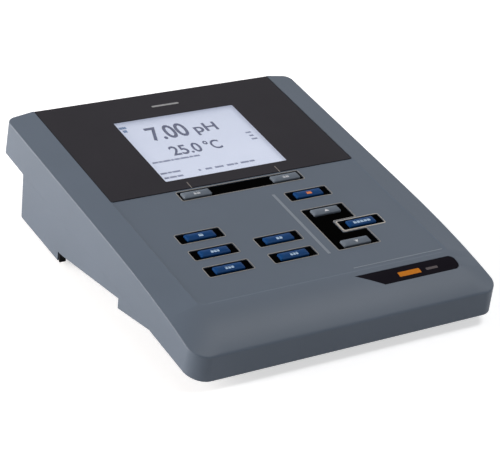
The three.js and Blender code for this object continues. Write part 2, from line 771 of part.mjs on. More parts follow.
// Key mat: a rubber sheet on the board with a dome under each key, clear of the pressed key
function keyMat() {
  const bottom = BOARD_TOP - SEAT;
  const sheet = box(
    LEFT_COLUMN - WELL_LENGTH / 2,
    -LEFT_COLUMN + WELL_LENGTH / 2,
    -LAST_ROW - WELL_DEPTH / 2,
    -FUNCTION_ROW + WELL_DEPTH / 2,
    -bottom,
    -bottom + MAT_THICK,
  );
  const domeTop = FLANGE_TOP + KEY_FLANGE_THICK + KEY_TRAVEL + SEAT;
  const domes = KEYS.map(([, u, row]) => {
    const geometry = new THREE.CylinderGeometry(DOME_RADIUS * 0.7, DOME_RADIUS, bottom - domeTop, 10);
    geometry.rotateX(Math.PI / 2);
    geometry.translate(u, -row, -(bottom + domeTop) / 2);
    return solid(geometry);
  });
  return join([sheet, ...domes]);
}

// Front board: carries the display, the key contacts and the cable socket
function frontBoard() {
  const bottom = -BOARD_TOP - BOARD_THICK;
  const board = box(-BOARD_HALF, BOARD_HALF, -BOARD_FRONT, -BOARD_REAR, bottom, -BOARD_TOP);
  const holes = postPlaces.map((at) => rod(BOARD_HOLE, bottom - PAST, PAST, at, "z", 10));
  return cut(board, holes);
}

// A screw from under its head to its tip, with the head on the far side of the seat
function screw(at, seat, tip, radius, headRadius, head) {
  const away = Math.sign(seat - tip);
  const shank = [seat + (away * head) / 2, tip].toSorted((a, b) => a - b);
  const cap = [seat, seat + away * head].toSorted((a, b) => a - b);
  return rod(headRadius, ...cap, at, "z", 14).add(rod(radius, ...shank, at, "z", 8));
}

// A solid of the slope frame as it stands in the level frame
function levelled(shape) {
  const data = shape.getMesh();
  const geometry = new THREE.BufferGeometry();
  geometry.setAttribute("position", new THREE.BufferAttribute(new Float32Array(data.vertProperties), 3));
  geometry.setIndex(new THREE.BufferAttribute(data.triVerts, 1));
  geometry.rotateX(SLOPE);
  geometry.translate(0, 0, REAR_HEIGHT);
  return solid(geometry);
}

// Side profile of the lower body, drawn in by a wall, with its top on a line parallel to the slope
function bodyProfile(wall, depth) {
  const rear = -OVERHANG - wall;
  const end = -CHIN_END + wall;
  const chin = -NOTCH_FRONT - wall;
  return [
    [rear, heightOnSlope(rear, depth)],
    [rear, REAR_CLEARANCE + wall],
    [-HEEL_FRONT + wall, HEEL_CLEARANCE + wall],
    [-HEEL_FRONT + wall, NOTCH_REAR_Z + wall],
    [-HEEL_FRONT - NOTCH_FLAT, NOTCH_REAR_Z + wall],
    [chin, CHIN_ROOF + wall],
    [chin, CHIN_ROOF - CHIN_DROP + wall],
    [end, heightOnSlope(-CHIN_END, SLAB + SEAT) + wall],
    [end, heightOnSlope(end, depth)],
  ];
}

// Side profile of the belly that hangs between the side walls
function bellyProfile(wall, floor, depth) {
  const front = -BELLY_FRONT + wall;
  return [
    [-BELLY_REAR - wall, heightOnSlope(-BELLY_REAR, depth)],
    [-BELLY_REAR - wall, BELLY_CLEARANCE + floor],
    [front, BELLY_CLEARANCE + floor],
    [front - BELLY_RISE, heightOnSlope(front - BELLY_RISE, depth)],
  ];
}

// Where the socket plate stands behind the rear wall
const plateRear = -OVERHANG - BODY_WALL - SEAT;
const plateFront = plateRear - SOCKET_PLATE_THICK;

// Sizes of the battery bay: length along the cells and half width across them
const bayFront = BAY_REAR + CELL_LENGTH + CELL_NUB + 2 * (CONTACT_THICK + CONTACT_GAP);
const bayHalf = (CELL_COUNT * CELL_PITCH) / 2 + SEAT;
const lidTop = BELLY_CLEARANCE + LID_THICK;
const cellZ = lidTop + SEAT + CELL_RADIUS;
const bayCeiling = cellZ + CELL_RADIUS + SEAT;
const lidFront = bayFront + LID_LAP;
const lidHalf = bayHalf + LID_LAP;

// Where the main board and the pieces on it lie
const mainBottom = bayCeiling + BAY_WALL + MAIN_BOARD_LIFT;
const mainTop = mainBottom + BOARD_THICK + SEAT;

// Lower shell: the rim floor under the slab, the stepped side walls, the belly with the battery
// bay, the rear wall with its window for the sockets, and the posts and screw bosses
function lowerShell() {
  const cutter = slabForm({ inset: WALL + SEAT, depth: SLAB });
  const rim = levelled(cutter.intersect(box(-WIDTH, WIDTH, -2 * LENGTH, PAST, -SLAB, -LIP_TOP)));
  const plan = new THREE.Shape();
  plan.moveTo(-HALF, -CHIN_END - PAST);
  plan.lineTo(HALF, -CHIN_END - PAST);
  plan.absarc(HALF - BODY_CORNER, -OVERHANG - BODY_CORNER, BODY_CORNER, 0, Math.PI / 2);
  plan.absarc(-HALF + BODY_CORNER, -OVERHANG - BODY_CORNER, BODY_CORNER, Math.PI / 2, Math.PI);
  plan.closePath();
  const footprint = raised(plan, -PAST, REAR_HEIGHT);
  const lipHalf = HALF - WALL - SEAT;
  const underRim = LIP_TOP + SEAT;
  const outer = join([
    drawnOut(bodyProfile(0, SLAB + SEAT), -HALF, HALF),
    drawnOut(bodyProfile(0, underRim), -lipHalf, lipHalf),
  ]).intersect(footprint);
  const belly = drawnOut(bellyProfile(0, 0, underRim), -BELLY_HALF, BELLY_HALF);
  const sideHalf = HALF - SIDE_WALL;
  const bellyHalf = BELLY_HALF - BODY_WALL;
  const hollows = [
    drawnOut(bodyProfile(BODY_WALL, LIP_TOP - PAST), -sideHalf, sideHalf),
    drawnOut(bellyProfile(BODY_WALL, BELLY_FLOOR, LIP_TOP - PAST), -bellyHalf, bellyHalf),
  ];
  const whole = join([rim, outer, belly]);
  const withinWalls = drawnOut(bodyProfile(1, underRim), 1 - HALF, HALF - 1);
  const bosses = screwPlaces.map((at) =>
    levelled(rod(BOSS_RADIUS + 1, -REAR_HEIGHT, -underRim, at, "z", 16)).intersect(withinWalls),
  );
  const bay = box(
    -bayHalf - BAY_WALL,
    bayHalf + BAY_WALL,
    -bayFront - BAY_WALL,
    -BAY_REAR + BAY_WALL,
    BELLY_CLEARANCE,
    bayCeiling + BAY_WALL,
  );
  const mainPosts = mainPostPlaces.map((at) =>
    rod(POST_RADIUS, BELLY_CLEARANCE + BELLY_FLOOR / 2, mainBottom - SEAT, at, "z", 14),
  );
  const mainBores = mainPostPlaces.map((at) =>
    rod(POST_BORE, mainBottom - BOARD_SCREW_GRIP - PAST, mainBottom, at, "z", 8),
  );
  const railInside = SOCKET_PLATE_HALF + SEAT;
  const plateRails = [-railInside - PLATE_RAIL, railInside].map((x) =>
    box(
      x,
      x + PLATE_RAIL,
      plateFront - PLATE_RAIL_GRIP,
      -OVERHANG - BODY_WALL / 2,
      REAR_CLEARANCE + BODY_WALL / 2,
      SOCKET_PLATE_HIGH,
    ),
  );
  const bayInside = box(
    -bayHalf,
    bayHalf,
    -bayFront,
    -BAY_REAR,
    -PAST,
    bayCeiling,
  );
  const lidOpening = box(-lidHalf, lidHalf, -lidFront, 0, -PAST, lidTop + SEAT);
  const grooveHalf = lidHalf + LID_TONGUE;
  const groove = box(
    -grooveHalf,
    grooveHalf,
    -lidFront,
    0,
    lidTop - LID_TONGUE_THICK - SEAT,
    lidTop + SEAT,
  );
  const plateWindow = box(
    -SOCKET_PLATE_HALF + SOCKET_PLATE_LAP,
    SOCKET_PLATE_HALF - SOCKET_PLATE_LAP,
    -OVERHANG - BODY_WALL - PAST,
    PAST,
    SOCKET_PLATE_LOW + SOCKET_PLATE_LAP,
    SOCKET_PLATE_HIGH - SOCKET_PLATE_LAP,
  );
  const screwSeat = -SCREW_REACH - SCREW_LENGTH;
  const screwCuts = screwPlaces.flatMap((at) => [
    levelled(rod(SCREW_RADIUS + SCREW_PLAY, -REAR_HEIGHT, 0, at, "z", 8)),
    levelled(rod(SCREW_HEAD_RADIUS + SCREW_PLAY, -2 * REAR_HEIGHT, screwSeat, at, "z", 14)),
  ]);
  const shell = cut(whole, hollows);
  const filled = join([shell, ...bosses, bay, ...mainPosts, ...plateRails]);
  return cut(filled, [bayInside, lidOpening, groove, plateWindow, ...screwCuts, ...mainBores]);
}

// Battery lid: a plate that slides to the rear on two tongues, with grip grooves near its rear end
function batteryLid() {
  const half = lidHalf - SEAT;
  const plate = box(-half, half, -lidFront + SEAT, -BELLY_REAR - SEAT, BELLY_CLEARANCE, lidTop);
  const tongueHalf = half + LID_TONGUE;
  const tongue = box(
    -tongueHalf,
    tongueHalf,
    -lidFront + SEAT,
    -BELLY_REAR - SEAT,
    lidTop - LID_TONGUE_THICK,
    lidTop,
  );
  const grooves = Array.from({ length: GRIP_RIBS }, (_, i) => {
    const y = -BELLY_REAR - GRIP_START + i * GRIP_PITCH;
    return box(i - GRIP_HALF, GRIP_HALF - i, y - GRIP_WIDTH, y, 0, BELLY_CLEARANCE + GRIP_DEPTH);
  });
  return cut(plate.add(tongue), grooves);
}

// One round cell along y, its raised end to the front or the rear
function batteryCell(x, turned) {
  const rear = -BAY_REAR - CONTACT_THICK - CONTACT_GAP;
  const front = rear - CELL_LENGTH - CELL_NUB;
  const at = [x, cellZ];
  const can = turned
    ? rod(CELL_RADIUS, front, rear - CELL_NUB, at, "y", 24)
    : rod(CELL_RADIUS, front + CELL_NUB, rear, at, "y", 24);
  const nub = turned
    ? rod(CELL_NUB_RADIUS, rear - 2 * CELL_NUB, rear, at, "y", 12)
    : rod(CELL_NUB_RADIUS, front, front + 2 * CELL_NUB, at, "y", 12);
  return can.add(nub);
}

// Contact strip at one end of the bay, with a bent leaf in front of each cell
function contactStrip(y, towards) {
  const near = y + towards * SEAT;
  const bar = (x, width, reach, height) => {
    const ends = [near, near + towards * reach].toSorted((a, b) => a - b);
    return box(x - width / 2, x + width / 2, ...ends, cellZ - height / 2, cellZ + height / 2);
  };
  const leafReach = CONTACT_THICK + CONTACT_GAP - 2 * SEAT;
  const leaves = Array.from({ length: CELL_COUNT }, (_, i) =>
    bar((i - (CELL_COUNT - 1) / 2) * CELL_PITCH, LEAF_WIDTH, leafReach, LEAF_HEIGHT),
  );
  return join([bar(0, 2 * (bayHalf - SEAT), CONTACT_THICK, CONTACT_HEIGHT), ...leaves]);
}

// Socket plate: behind the window of the rear wall
function socketPlate() {
  const plate = box(
    -SOCKET_PLATE_HALF,
    SOCKET_PLATE_HALF,
    plateFront,
    plateRear,
    SOCKET_PLATE_LOW + SEAT,
    SOCKET_PLATE_HIGH - SEAT,
  );
  const [from, to] = [plateFront - PAST, plateRear + PAST];
  const roundHoles = [
    [SENSOR_SOCKET_X, SENSOR_SOCKET.barrel],
    [ELECTRODE_SOCKET.x, ELECTRODE_SOCKET.barrel],
    [SUPPLY_SOCKET_X, SUPPLY_RADIUS],
    ...PROBE_JACK_XS.map((x) => [x, PROBE_JACK.barrel]),
  ];
  const holes = roundHoles.map(([x, radius]) => rod(radius + SEAT, from, to, [x, SOCKET_Z], "y"));
  const [u, z] = [DATA_SOCKET_WIDTH / 2 + SEAT, DATA_SOCKET_HEIGHT / 2 + SEAT];
  const dataHole = box(DATA_SOCKET_X - u, DATA_SOCKET_X + u, from, to, SOCKET_Z - z, SOCKET_Z + z);
  return cut(plate, [...holes, dataHole]);
}

// A turned socket along y: barrel through the plate, shoulder outside it, body inside, and a bore
function turnedSocket({ x, barrel, shoulder, body, out, inside, bore, boreDepth, sides }) {
  const at = [x, SOCKET_Z];
  const tip = plateRear + out;
  const seat = plateRear + SEAT;
  const pieces = [
    rod(barrel, plateFront - 2 * SEAT, tip, at, "y", sides),
    rod(shoulder, seat, seat + SHOULDER_THICK, at, "y", sides),
    rod(body, plateFront - SEAT - inside, plateFront - SEAT, at, "y", sides),
  ];
  return join(pieces).subtract(rod(bore, tip - boreDepth, tip + PAST, at, "y", sides));
}

// Sensor socket: round, with a circle of contact pins on the floor of its bore
function sensorSocket() {
  const { out, boreDepth } = SENSOR_SOCKET;
  const floor = plateRear + out - boreDepth;
  const pins = Array.from({ length: SENSOR_PINS }, (_, i) => {
    const angle = (i / SENSOR_PINS) * 2 * Math.PI;
    const x = SENSOR_SOCKET_X + SENSOR_PIN_CIRCLE * Math.cos(angle);
    const at = [x, SOCKET_Z + SENSOR_PIN_CIRCLE * Math.sin(angle)];
    return rod(SENSOR_PIN_RADIUS, floor - SENSOR_PIN_RADIUS, floor + SENSOR_PIN_LENGTH, at, "y", 6);
  });
  return join([turnedSocket({ ...SENSOR_SOCKET, x: SENSOR_SOCKET_X }), ...pins]);
}

// Electrode socket: a metal barrel with two lugs that a bayonet plug turns on to
function electrodeSocket() {
  const { x, out, bore } = ELECTRODE_SOCKET;
  const tip = plateRear + out;
  const lug = new THREE.CylinderGeometry(LUG_RADIUS, LUG_RADIUS, LUG_SPAN, 10);
  lug.rotateZ(Math.PI / 2);
  lug.translate(x, tip - LUG_BACK, SOCKET_Z);
  const clearBore = rod(bore, tip - 2 * LUG_BACK, tip, [x, SOCKET_Z], "y", ELECTRODE_SOCKET.sides);
  return turnedSocket(ELECTRODE_SOCKET).add(solid(lug).subtract(clearBore));
}

// Contact in the electrode socket: a disc on the floor of the bore and the centre pin
function electrodeContact() {
  const { x, out, boreDepth } = ELECTRODE_SOCKET;
  const at = [x, SOCKET_Z];
  const floor = plateRear + out - boreDepth + SEAT;
  const disc = rod(CONTACT_DISC_RADIUS, floor, floor + CONTACT_DISC_THICK, at, "y", 16);
  const pinFoot = floor + CONTACT_DISC_THICK / 2;
  return disc.add(rod(CONTACT_PIN_RADIUS, pinFoot, floor + CONTACT_PIN_LENGTH, at, "y", 10));
}

// Data socket: a metal shell round a mouth, with a tongue in its middle
function dataSocket() {
  const halfWidth = DATA_SOCKET_WIDTH / 2;
  const halfHeight = DATA_SOCKET_HEIGHT / 2;
  const tip = plateRear + DATA_SOCKET_OUT;
  const floor = tip - DATA_MOUTH_DEPTH;
  const shell = box(
    DATA_SOCKET_X - halfWidth,
    DATA_SOCKET_X + halfWidth,
    plateFront - DATA_SOCKET_INSIDE,
    tip,
    SOCKET_Z - halfHeight,
    SOCKET_Z + halfHeight,
  );
  const mouth = box(
    DATA_SOCKET_X - DATA_MOUTH_WIDTH / 2,
    DATA_SOCKET_X + DATA_MOUTH_WIDTH / 2,
    floor,
    tip + PAST,
    SOCKET_Z - DATA_MOUTH_HEIGHT / 2,
    SOCKET_Z + DATA_MOUTH_HEIGHT / 2,
  );
  const tongue = box(
    DATA_SOCKET_X - DATA_TONGUE_WIDTH / 2,
    DATA_SOCKET_X + DATA_TONGUE_WIDTH / 2,
    floor - DATA_TONGUE_BACK,
    tip - DATA_TONGUE_BACK,
    SOCKET_Z - DATA_TONGUE_HEIGHT / 2,
    SOCKET_Z + DATA_TONGUE_HEIGHT / 2,
  );
  return shell.subtract(mouth).add(tongue);
}

// Supply socket: a block with a round mouth and a centre pin, for a low-voltage adapter
function supplySocket() {
  const at = [SUPPLY_SOCKET_X, SOCKET_Z];
  const tip = plateRear + SUPPLY_OUT;
  const floor = tip - SUPPLY_BORE_DEPTH;
  const body = box(
    SUPPLY_SOCKET_X - SUPPLY_RADIUS,
    SUPPLY_SOCKET_X + SUPPLY_RADIUS,
    plateFront - SUPPLY_BODY_DEPTH,
    plateFront - SEAT,
    SOCKET_Z - SUPPLY_BODY_HEIGHT / 2,
    SOCKET_Z + SUPPLY_BODY_HEIGHT / 2,
  );
  const barrel = rod(SUPPLY_RADIUS, plateFront - 2 * SEAT, tip, at, "y", 24);
  const bore = rod(SUPPLY_BORE, floor, tip + PAST, at, "y", 20);
  const pin = rod(SUPPLY_PIN, floor - SUPPLY_PIN, tip - SUPPLY_PIN_BACK, at, "y", 10);
  return body.add(barrel).subtract(bore).add(pin);
}

// Main board: level, over the battery bay
function mainBoard() {
  const board = box(
    -MAIN_BOARD_HALF,
    MAIN_BOARD_HALF,
    -MAIN_BOARD_FRONT,
    -MAIN_BOARD_REAR,
    mainBottom,
    mainBottom + BOARD_THICK,
  );
  const holes = mainPostPlaces.map((at) => rod(BOARD_HOLE, mainBottom - PAST, mainTop + PAST, at, "z", 10));
  return cut(board, holes);
}

// A block that sits on the main board
function onMainBoard(x, { y, length, depth, height }) {
  return box(x - length / 2, x + length / 2, y - depth / 2, y + depth / 2, mainTop, mainTop + height);
}

// Ribbon cable: from the front board's socket down to the main board's, in one soft fold
function ribbonCable() {
  const depth = BOARD_TOP + BOARD_THICK + SEAT + RIBBON_SOCKET;
  const top = heightOnSlope(RIBBON_UPPER_Y, depth + 2 * SEAT);
  const bottom = mainTop + RIBBON_SOCKET + SEAT;
  const bend = (top - bottom) / 2;
  const fold = new THREE.CubicBezierCurve(
    new THREE.Vector2(RIBBON_UPPER_Y, top),
    new THREE.Vector2(RIBBON_UPPER_Y, top - bend),
    new THREE.Vector2(RIBBON_LOWER_Y, bottom + bend),
    new THREE.Vector2(RIBBON_LOWER_Y, bottom),
  ).getPoints(8);
  const half = RIBBON_THICK / 2;
  const side = fold.map((point) => [point.x - half, point.y]);
  const other = fold.map((point) => [point.x + half, point.y]).toReversed();
  return drawnOut([...side, ...other], -RIBBON_HALF, RIBBON_HALF);
}

// The two sockets of the ribbon cable: under the front board and on the main board
function ribbonSocket(y, low) {
  const half = RIBBON_HALF + RIBBON_SOCKET_LAP;
  const reach = RIBBON_SOCKET_DEPTH / 2;
  return box(-half, half, y - reach, y + reach, low, low + RIBBON_SOCKET);
}

// Heel foot: a rubber pad under the sloping heel, with a tongue hooked up over the heel's front edge
function heelFoot(side) {
  const padOutside = HALF - HEEL_PAD_INSET;
  const tongueOutside = HALF - HEEL_TONGUE_INSET;
  const tongueInside = tongueOutside - HEEL_TONGUE_WIDTH;
  const rise = (REAR_CLEARANCE - HEEL_CLEARANCE) / (HEEL_FRONT - OVERHANG);
  const underHeel = (y) => HEEL_CLEARANCE - SEAT + rise * (y + HEEL_FRONT);
  const padFront = HEEL_PAD_BACK - HEEL_FRONT;
  const padRear = padFront + HEEL_PAD_LENGTH;
  const hookRear = -HEEL_FRONT - SEAT;
  const hookFront = hookRear - HEEL_TONGUE_THICK;
  const hookLow = underHeel(hookRear) - HEEL_STRIP;
  const hookTop = NOTCH_REAR_Z - SEAT;
  const pad = [
    [padFront, 0],
    [padRear, 0],
    [padRear, underHeel(padRear)],
    [padFront, underHeel(padFront)],
  ];
  const hook = [
    [hookFront, hookLow],
    [padRear, hookLow],
    [padRear, underHeel(padRear)],
    [hookRear, underHeel(hookRear)],
    [hookRear, hookTop],
    [hookFront, hookTop],
  ];
  const across = (a, b) => (side > 0 ? [a, b] : [-b, -a]);
  return join([
    drawnOut(pad, ...across(padOutside - HEEL_PAD_WIDTH, padOutside)),
    drawnOut(hook, ...across(tongueInside, padOutside)),
    box(...across(tongueInside, tongueOutside), hookFront, hookRear, hookLow, hookTop),
  ]);
}

// Assembly of the pieces in the slope frame
piece("upper_shell", upperShell(), SHELL_COLOUR, 0.5);
piece("display_panel", displayPanel(), PANEL_COLOUR, 0.3);
piece("display_window", displayWindow(), 0xe6ecf2, 0.05);
piece("display_cell", displayCell(), 0xccd3e8, 0.2);
piece(
  "display_backlight",
  displayBlock(CELL_BORDER, INSERT_TOP + 2 * SEAT + CELL_THICK, BACKLIGHT_THICK),
  0xf2f4f6,
  0.6,
);
piece("display_carrier", displayCarrier(), BLACK_PLASTIC, 0.6);
piece("key_insert", keyInsert(), BLACK_PLASTIC, 0.55);
piece("key_mat", keyMat(), 0x6a6d70, 0.8);
piece("front_board", frontBoard(), BOARD_GREEN, 0.5);
const upperSocketV = RIBBON_UPPER_Y * Math.cos(SLOPE) - (REAR_HEIGHT / 2) * Math.sin(SLOPE);
const upperSocketTop = -BOARD_TOP - BOARD_THICK - SEAT;
piece("ribbon_socket_upper", ribbonSocket(upperSocketV, upperSocketTop - RIBBON_SOCKET), BLACK_PLASTIC, 0.6);
for (const [name, u, row, colour] of KEYS) piece(name, key(u, row), colour, 0.55);

const badgeSolid = raised(badgeShape(0), -TOP_WALL - PAST, PAST)
  .intersect(slabForm({}))
  .subtract(slabForm({ lowered: BADGE_THICK }));
piece("badge_plate", badgeSolid, 0x1e1c21, 0.35);

function boardScrew(at, seat, tip) {
  return screw(at, seat, tip, BOARD_SCREW_RADIUS, BOARD_SCREW_HEAD_RADIUS, BOARD_SCREW_HEAD);
}

postPlaces.forEach((at, i) => {
  const shape = boardScrew(at, -BOARD_TOP - BOARD_THICK - SEAT, -BOARD_TOP + BOARD_SCREW_GRIP);
  piece(`board_screw_${i + 1}`, shape, STEEL, 0.3, 1);
});
screwPlaces.forEach((at, i) => {
  const seat = -SCREW_REACH - SCREW_LENGTH - SEAT;
  const shape = screw(at, seat, -SCREW_REACH, SCREW_RADIUS, SCREW_HEAD_RADIUS, SCREW_HEAD);
  piece(`housing_screw_${i + 1}`, shape, STEEL, 0.3, 1);
});

// Assembly of the pieces in the level frame
piece("lower_shell", lowerShell(), SHELL_COLOUR, 0.5, 0, level);
piece("battery_lid", batteryLid(), SHELL_COLOUR, 0.5, 0, level);
for (let i = 0; i < CELL_COUNT; i++) {
  const x = (i - (CELL_COUNT - 1) / 2) * CELL_PITCH;
  piece(`battery_${i + 1}`, batteryCell(x, i % 2 === 1), 0x2c3a4a, 0.4, 0.4, level);
}
piece("contact_strip_rear", contactStrip(-BAY_REAR, -1), STEEL, 0.3, 1, level);
piece("contact_strip_front", contactStrip(-bayFront, 1), STEEL, 0.3, 1, level);
piece("socket_plate", socketPlate(), 0x303338, 0.5, 0, level);
piece("sensor_socket", sensorSocket(), 0x2a2b2e, 0.45, 0, level);
piece("electrode_socket", electrodeSocket(), STEEL, 0.25, 1, level);
piece("electrode_contact", electrodeContact(), 0xc9a24a, 0.3, 1, level);
PROBE_JACK_XS.forEach((x, i) => {
  piece(`probe_jack_${i + 1}`, turnedSocket({ ...PROBE_JACK, x }), CHIP_BLACK, 0.5, 0, level);
});
piece("data_socket", dataSocket(), STEEL, 0.35, 1, level);
piece("supply_socket", supplySocket(), CHIP_BLACK, 0.5, 0, level);
piece("main_board", mainBoard(), BOARD_GREEN, 0.5, 0, level);
const processor = onMainBoard(PROCESSOR.inset - MAIN_BOARD_HALF, PROCESSOR);
piece("processor", processor, CHIP_BLACK, 0.5, 0, level);
const shield = onMainBoard(MAIN_BOARD_HALF - SHIELD.inset, SHIELD);
piece("amplifier_shield", shield, STEEL, 0.4, 1, level);
const clockPlace = [CLOCK_CELL.inset - MAIN_BOARD_HALF, CLOCK_CELL.y];
const clockCell = rod(CLOCK_CELL.radius, mainTop, mainTop + CLOCK_CELL.height, clockPlace);
piece("clock_cell", clockCell, STEEL, 0.3, 1, level);
mainPostPlaces.forEach((at, i) => {
  piece(`main_screw_${i + 1}`, boardScrew(at, mainTop, mainBottom - BOARD_SCREW_GRIP), STEEL, 0.3, 1, level);
});
piece("ribbon_cable", ribbonCable(), 0x9a9da0, 0.7, 0, level);
piece("ribbon_socket_lower", ribbonSocket(RIBBON_LOWER_Y, mainTop), BLACK_PLASTIC, 0.6, 0, level);
piece("heel_foot_left", heelFoot(-1), RUBBER_BLACK, 0.9, 0, level);
piece("heel_foot_right", heelFoot(1), RUBBER_BLACK, 0.9, 0, level);
for (const side of [-1, 1]) {
  const name = side < 0 ? "front_foot_left" : "front_foot_right";
  const at = [side * (BELLY_HALF - FOOT_INSET), FOOT_BACK - BELLY_FRONT];
  const foot = rod(FOOT_RADIUS, 0, BELLY_CLEARANCE - SEAT, at);
  piece(name, foot, RUBBER_BLACK, 0.9, 0, level);
}

export default root;
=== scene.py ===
import math

import bmesh
import bpy
from mathutils import Matrix, Vector


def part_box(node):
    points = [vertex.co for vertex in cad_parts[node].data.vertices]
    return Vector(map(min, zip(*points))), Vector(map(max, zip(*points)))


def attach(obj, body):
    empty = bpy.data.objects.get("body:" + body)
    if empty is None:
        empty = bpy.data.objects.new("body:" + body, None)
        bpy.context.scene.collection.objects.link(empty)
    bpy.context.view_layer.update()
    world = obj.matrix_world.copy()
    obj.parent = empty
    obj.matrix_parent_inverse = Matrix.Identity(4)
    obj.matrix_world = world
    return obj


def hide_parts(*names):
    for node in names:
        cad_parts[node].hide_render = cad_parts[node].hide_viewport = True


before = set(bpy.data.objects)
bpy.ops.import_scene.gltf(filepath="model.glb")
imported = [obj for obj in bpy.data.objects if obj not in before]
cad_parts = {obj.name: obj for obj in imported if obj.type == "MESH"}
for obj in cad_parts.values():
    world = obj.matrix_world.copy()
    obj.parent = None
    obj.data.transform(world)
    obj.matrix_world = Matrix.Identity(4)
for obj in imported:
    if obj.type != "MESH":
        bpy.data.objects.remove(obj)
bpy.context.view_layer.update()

# Lower shell: the body under the slab, injection moulded in the same filled ABS as the top. The
# belly that hangs between its side walls holds the battery bay, and four screws from below close
# it to the upper shell.

MM = 0.001
WELD = 0.002 * MM
HOUSING_GREY = (78, 89, 104)
HOUSING_SHADE = (74, 85, 99)


def linear(colour):
    """A screen colour as the shader's linear one."""
    shares = [c / 255 for c in colour]
    return tuple(s / 12.92 if s <= 0.04045 else ((s + 0.055) / 1.055) ** 2.4 for s in shares) + (1.0,)


def noise(nodes, links, place, size, detail=3):
    """A noise texture whose lumps are about the given size in metres."""
    texture = nodes.new("ShaderNodeTexNoise")
    texture.inputs["Scale"].default_value = 1 / size
    texture.inputs["Detail"].default_value = detail
    links.new(place, texture.inputs["Vector"])
    return texture.outputs["Fac"]


def two_tones(nodes, links, factor, dark, light, low=0.3, high=0.7):
    """A colour that runs from one tone to another between two values of the factor."""
    ramp = nodes.new("ShaderNodeValToRGB")
    first, last = ramp.color_ramp.elements
    first.position, last.position = low, high
    first.color, last.color = dark, light
    links.new(factor, ramp.inputs["Fac"])
    return ramp.outputs["Color"]


def dimmed(colour, share):
    return tuple(c * share for c in colour[:3]) + (1.0,)


def relief(nodes, links, shader, height, depth, strength=0.4):
    """Fine relief of a given depth in metres, shown in the shading only."""
    bump = nodes.new("ShaderNodeBump")
    bump.inputs["Strength"].default_value = strength
    bump.inputs["Distance"].default_value = depth
    links.new(height, bump.inputs["Height"])
    links.new(bump.outputs["Normal"], shader.inputs["Normal"])


def spread(nodes, links, shader, factor, low, high):
    """Roughness that wanders between two values."""
    span = nodes.new("ShaderNodeMapRange")
    span.inputs["To Min"].default_value = low
    span.inputs["To Max"].default_value = high
    links.new(factor, span.inputs["Value"])
    links.new(span.outputs["Result"], shader.inputs["Roughness"])


def new_material(name):
    material = bpy.data.materials.new(name)
    material.use_nodes = True
    nodes, links = material.node_tree.nodes, material.node_tree.links
    place = nodes.new("ShaderNodeTexCoord").outputs["Object"]
    return material, nodes, links, nodes["Principled BSDF"], place


def moulded_plastic(name, colour, shade, roughness=0.5, grain=0.45, depth=0.03, cloud=35, gloss=0.2):
    """Plastic from an eroded mould: a slow mottle of two near tones and a fine grain in relief."""
    material, nodes, links, shader, place = new_material(name)
    shader.inputs["Specular IOR Level"].default_value = gloss
    slow = noise(nodes, links, place, cloud * MM, 4)
    fine = noise(nodes, links, place, grain * MM, 2)
    tone = nodes.new("ShaderNodeMix")
    tone.inputs["Factor"].default_value = 0.35
    links.new(slow, tone.inputs["A"])
    links.new(fine, tone.inputs["B"])
    colours = two_tones(nodes, links, tone.outputs["Result"], linear(shade), linear(colour))
    links.new(colours, shader.inputs["Base Color"])
    spread(nodes, links, shader, fine, roughness - 0.07, roughness + 0.07)
    relief(nodes, links, shader, fine, depth * MM)
    return material


def finished(name, form, material, body="housing", place=Matrix.Identity(4), crease=35):
    """A form in its place as a smooth-shaded piece that rides on a body."""
    bmesh.ops.recalc_face_normals(form, faces=form.faces)
    mesh = bpy.data.meshes.new(name)
    form.to_mesh(mesh)
    form.free()
    mesh.transform(place)
    mesh.shade_smooth()
    mesh.set_sharp_from_angle(angle=math.radians(crease))
    mesh.materials.append(material)
    piece = bpy.data.objects.new(name, mesh)
    bpy.context.scene.collection.objects.link(piece)
    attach(piece, body)
    return piece


def softened(form, width, sharper_than=40):
    """Rounds off the edges that are sharper than an angle, as moulding and tumbling leave them."""
    limit = math.radians(sharper_than)
    sharp = [e for e in form.edges if e.is_manifold and e.calc_face_angle(0) > limit]
    bmesh.ops.bevel(
        form,
        geom=sharp,
        offset=width,
        offset_type="OFFSET",
        segments=2,
        profile=0.5,
        affect="EDGES",
        clamp_overlap=True,
    )


def evened(piece):
    """Keeps the shading even over wide flats, up to the sharp edges."""
    weighted = piece.modifiers.new("even shading", "WEIGHTED_NORMAL")
    weighted.keep_sharp = True


def machined(node, name, material, body="housing", edge=0.2):
    """The node's own shape in one skin, with its sharp edges broken."""
    form = bmesh.new()
    form.from_mesh(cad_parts[node].data)
    bmesh.ops.remove_doubles(form, verts=form.verts, dist=WELD)
    flat = math.radians(0.6)
    bmesh.ops.dissolve_limit(form, angle_limit=flat, verts=form.verts, edges=form.edges)
    if edge:
        softened(form, edge * MM)
    piece = finished(name, form, material, body)
    evened(piece)
    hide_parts(node)
    return piece


housing_plastic = moulded_plastic("housing_plastic", HOUSING_GREY, HOUSING_SHADE, 0.54, gloss=0.5)
machined("lower_shell", "lower_shell_moulding", housing_plastic, edge=0.15)

# Feet: black rubber, worn dull. A pad under each side of the heel has a tongue that hooks up over
# the heel's front edge, and two round pads are glued under the front of the belly.

foot_rubber = moulded_plastic("foot_rubber", (30, 30, 31), (20, 20, 21), 0.82, 0.9, 0.08, 12, 0.1)
for name in ("heel_foot_left", "heel_foot_right", "front_foot_left", "front_foot_right"):
    machined(name, name + "_rubber", foot_rubber, edge=0.5)

# Battery contacts and cells: nickel-plated spring steel leaves at both ends of the bay, and four
# round cells with a printed film sleeve over a steel can.


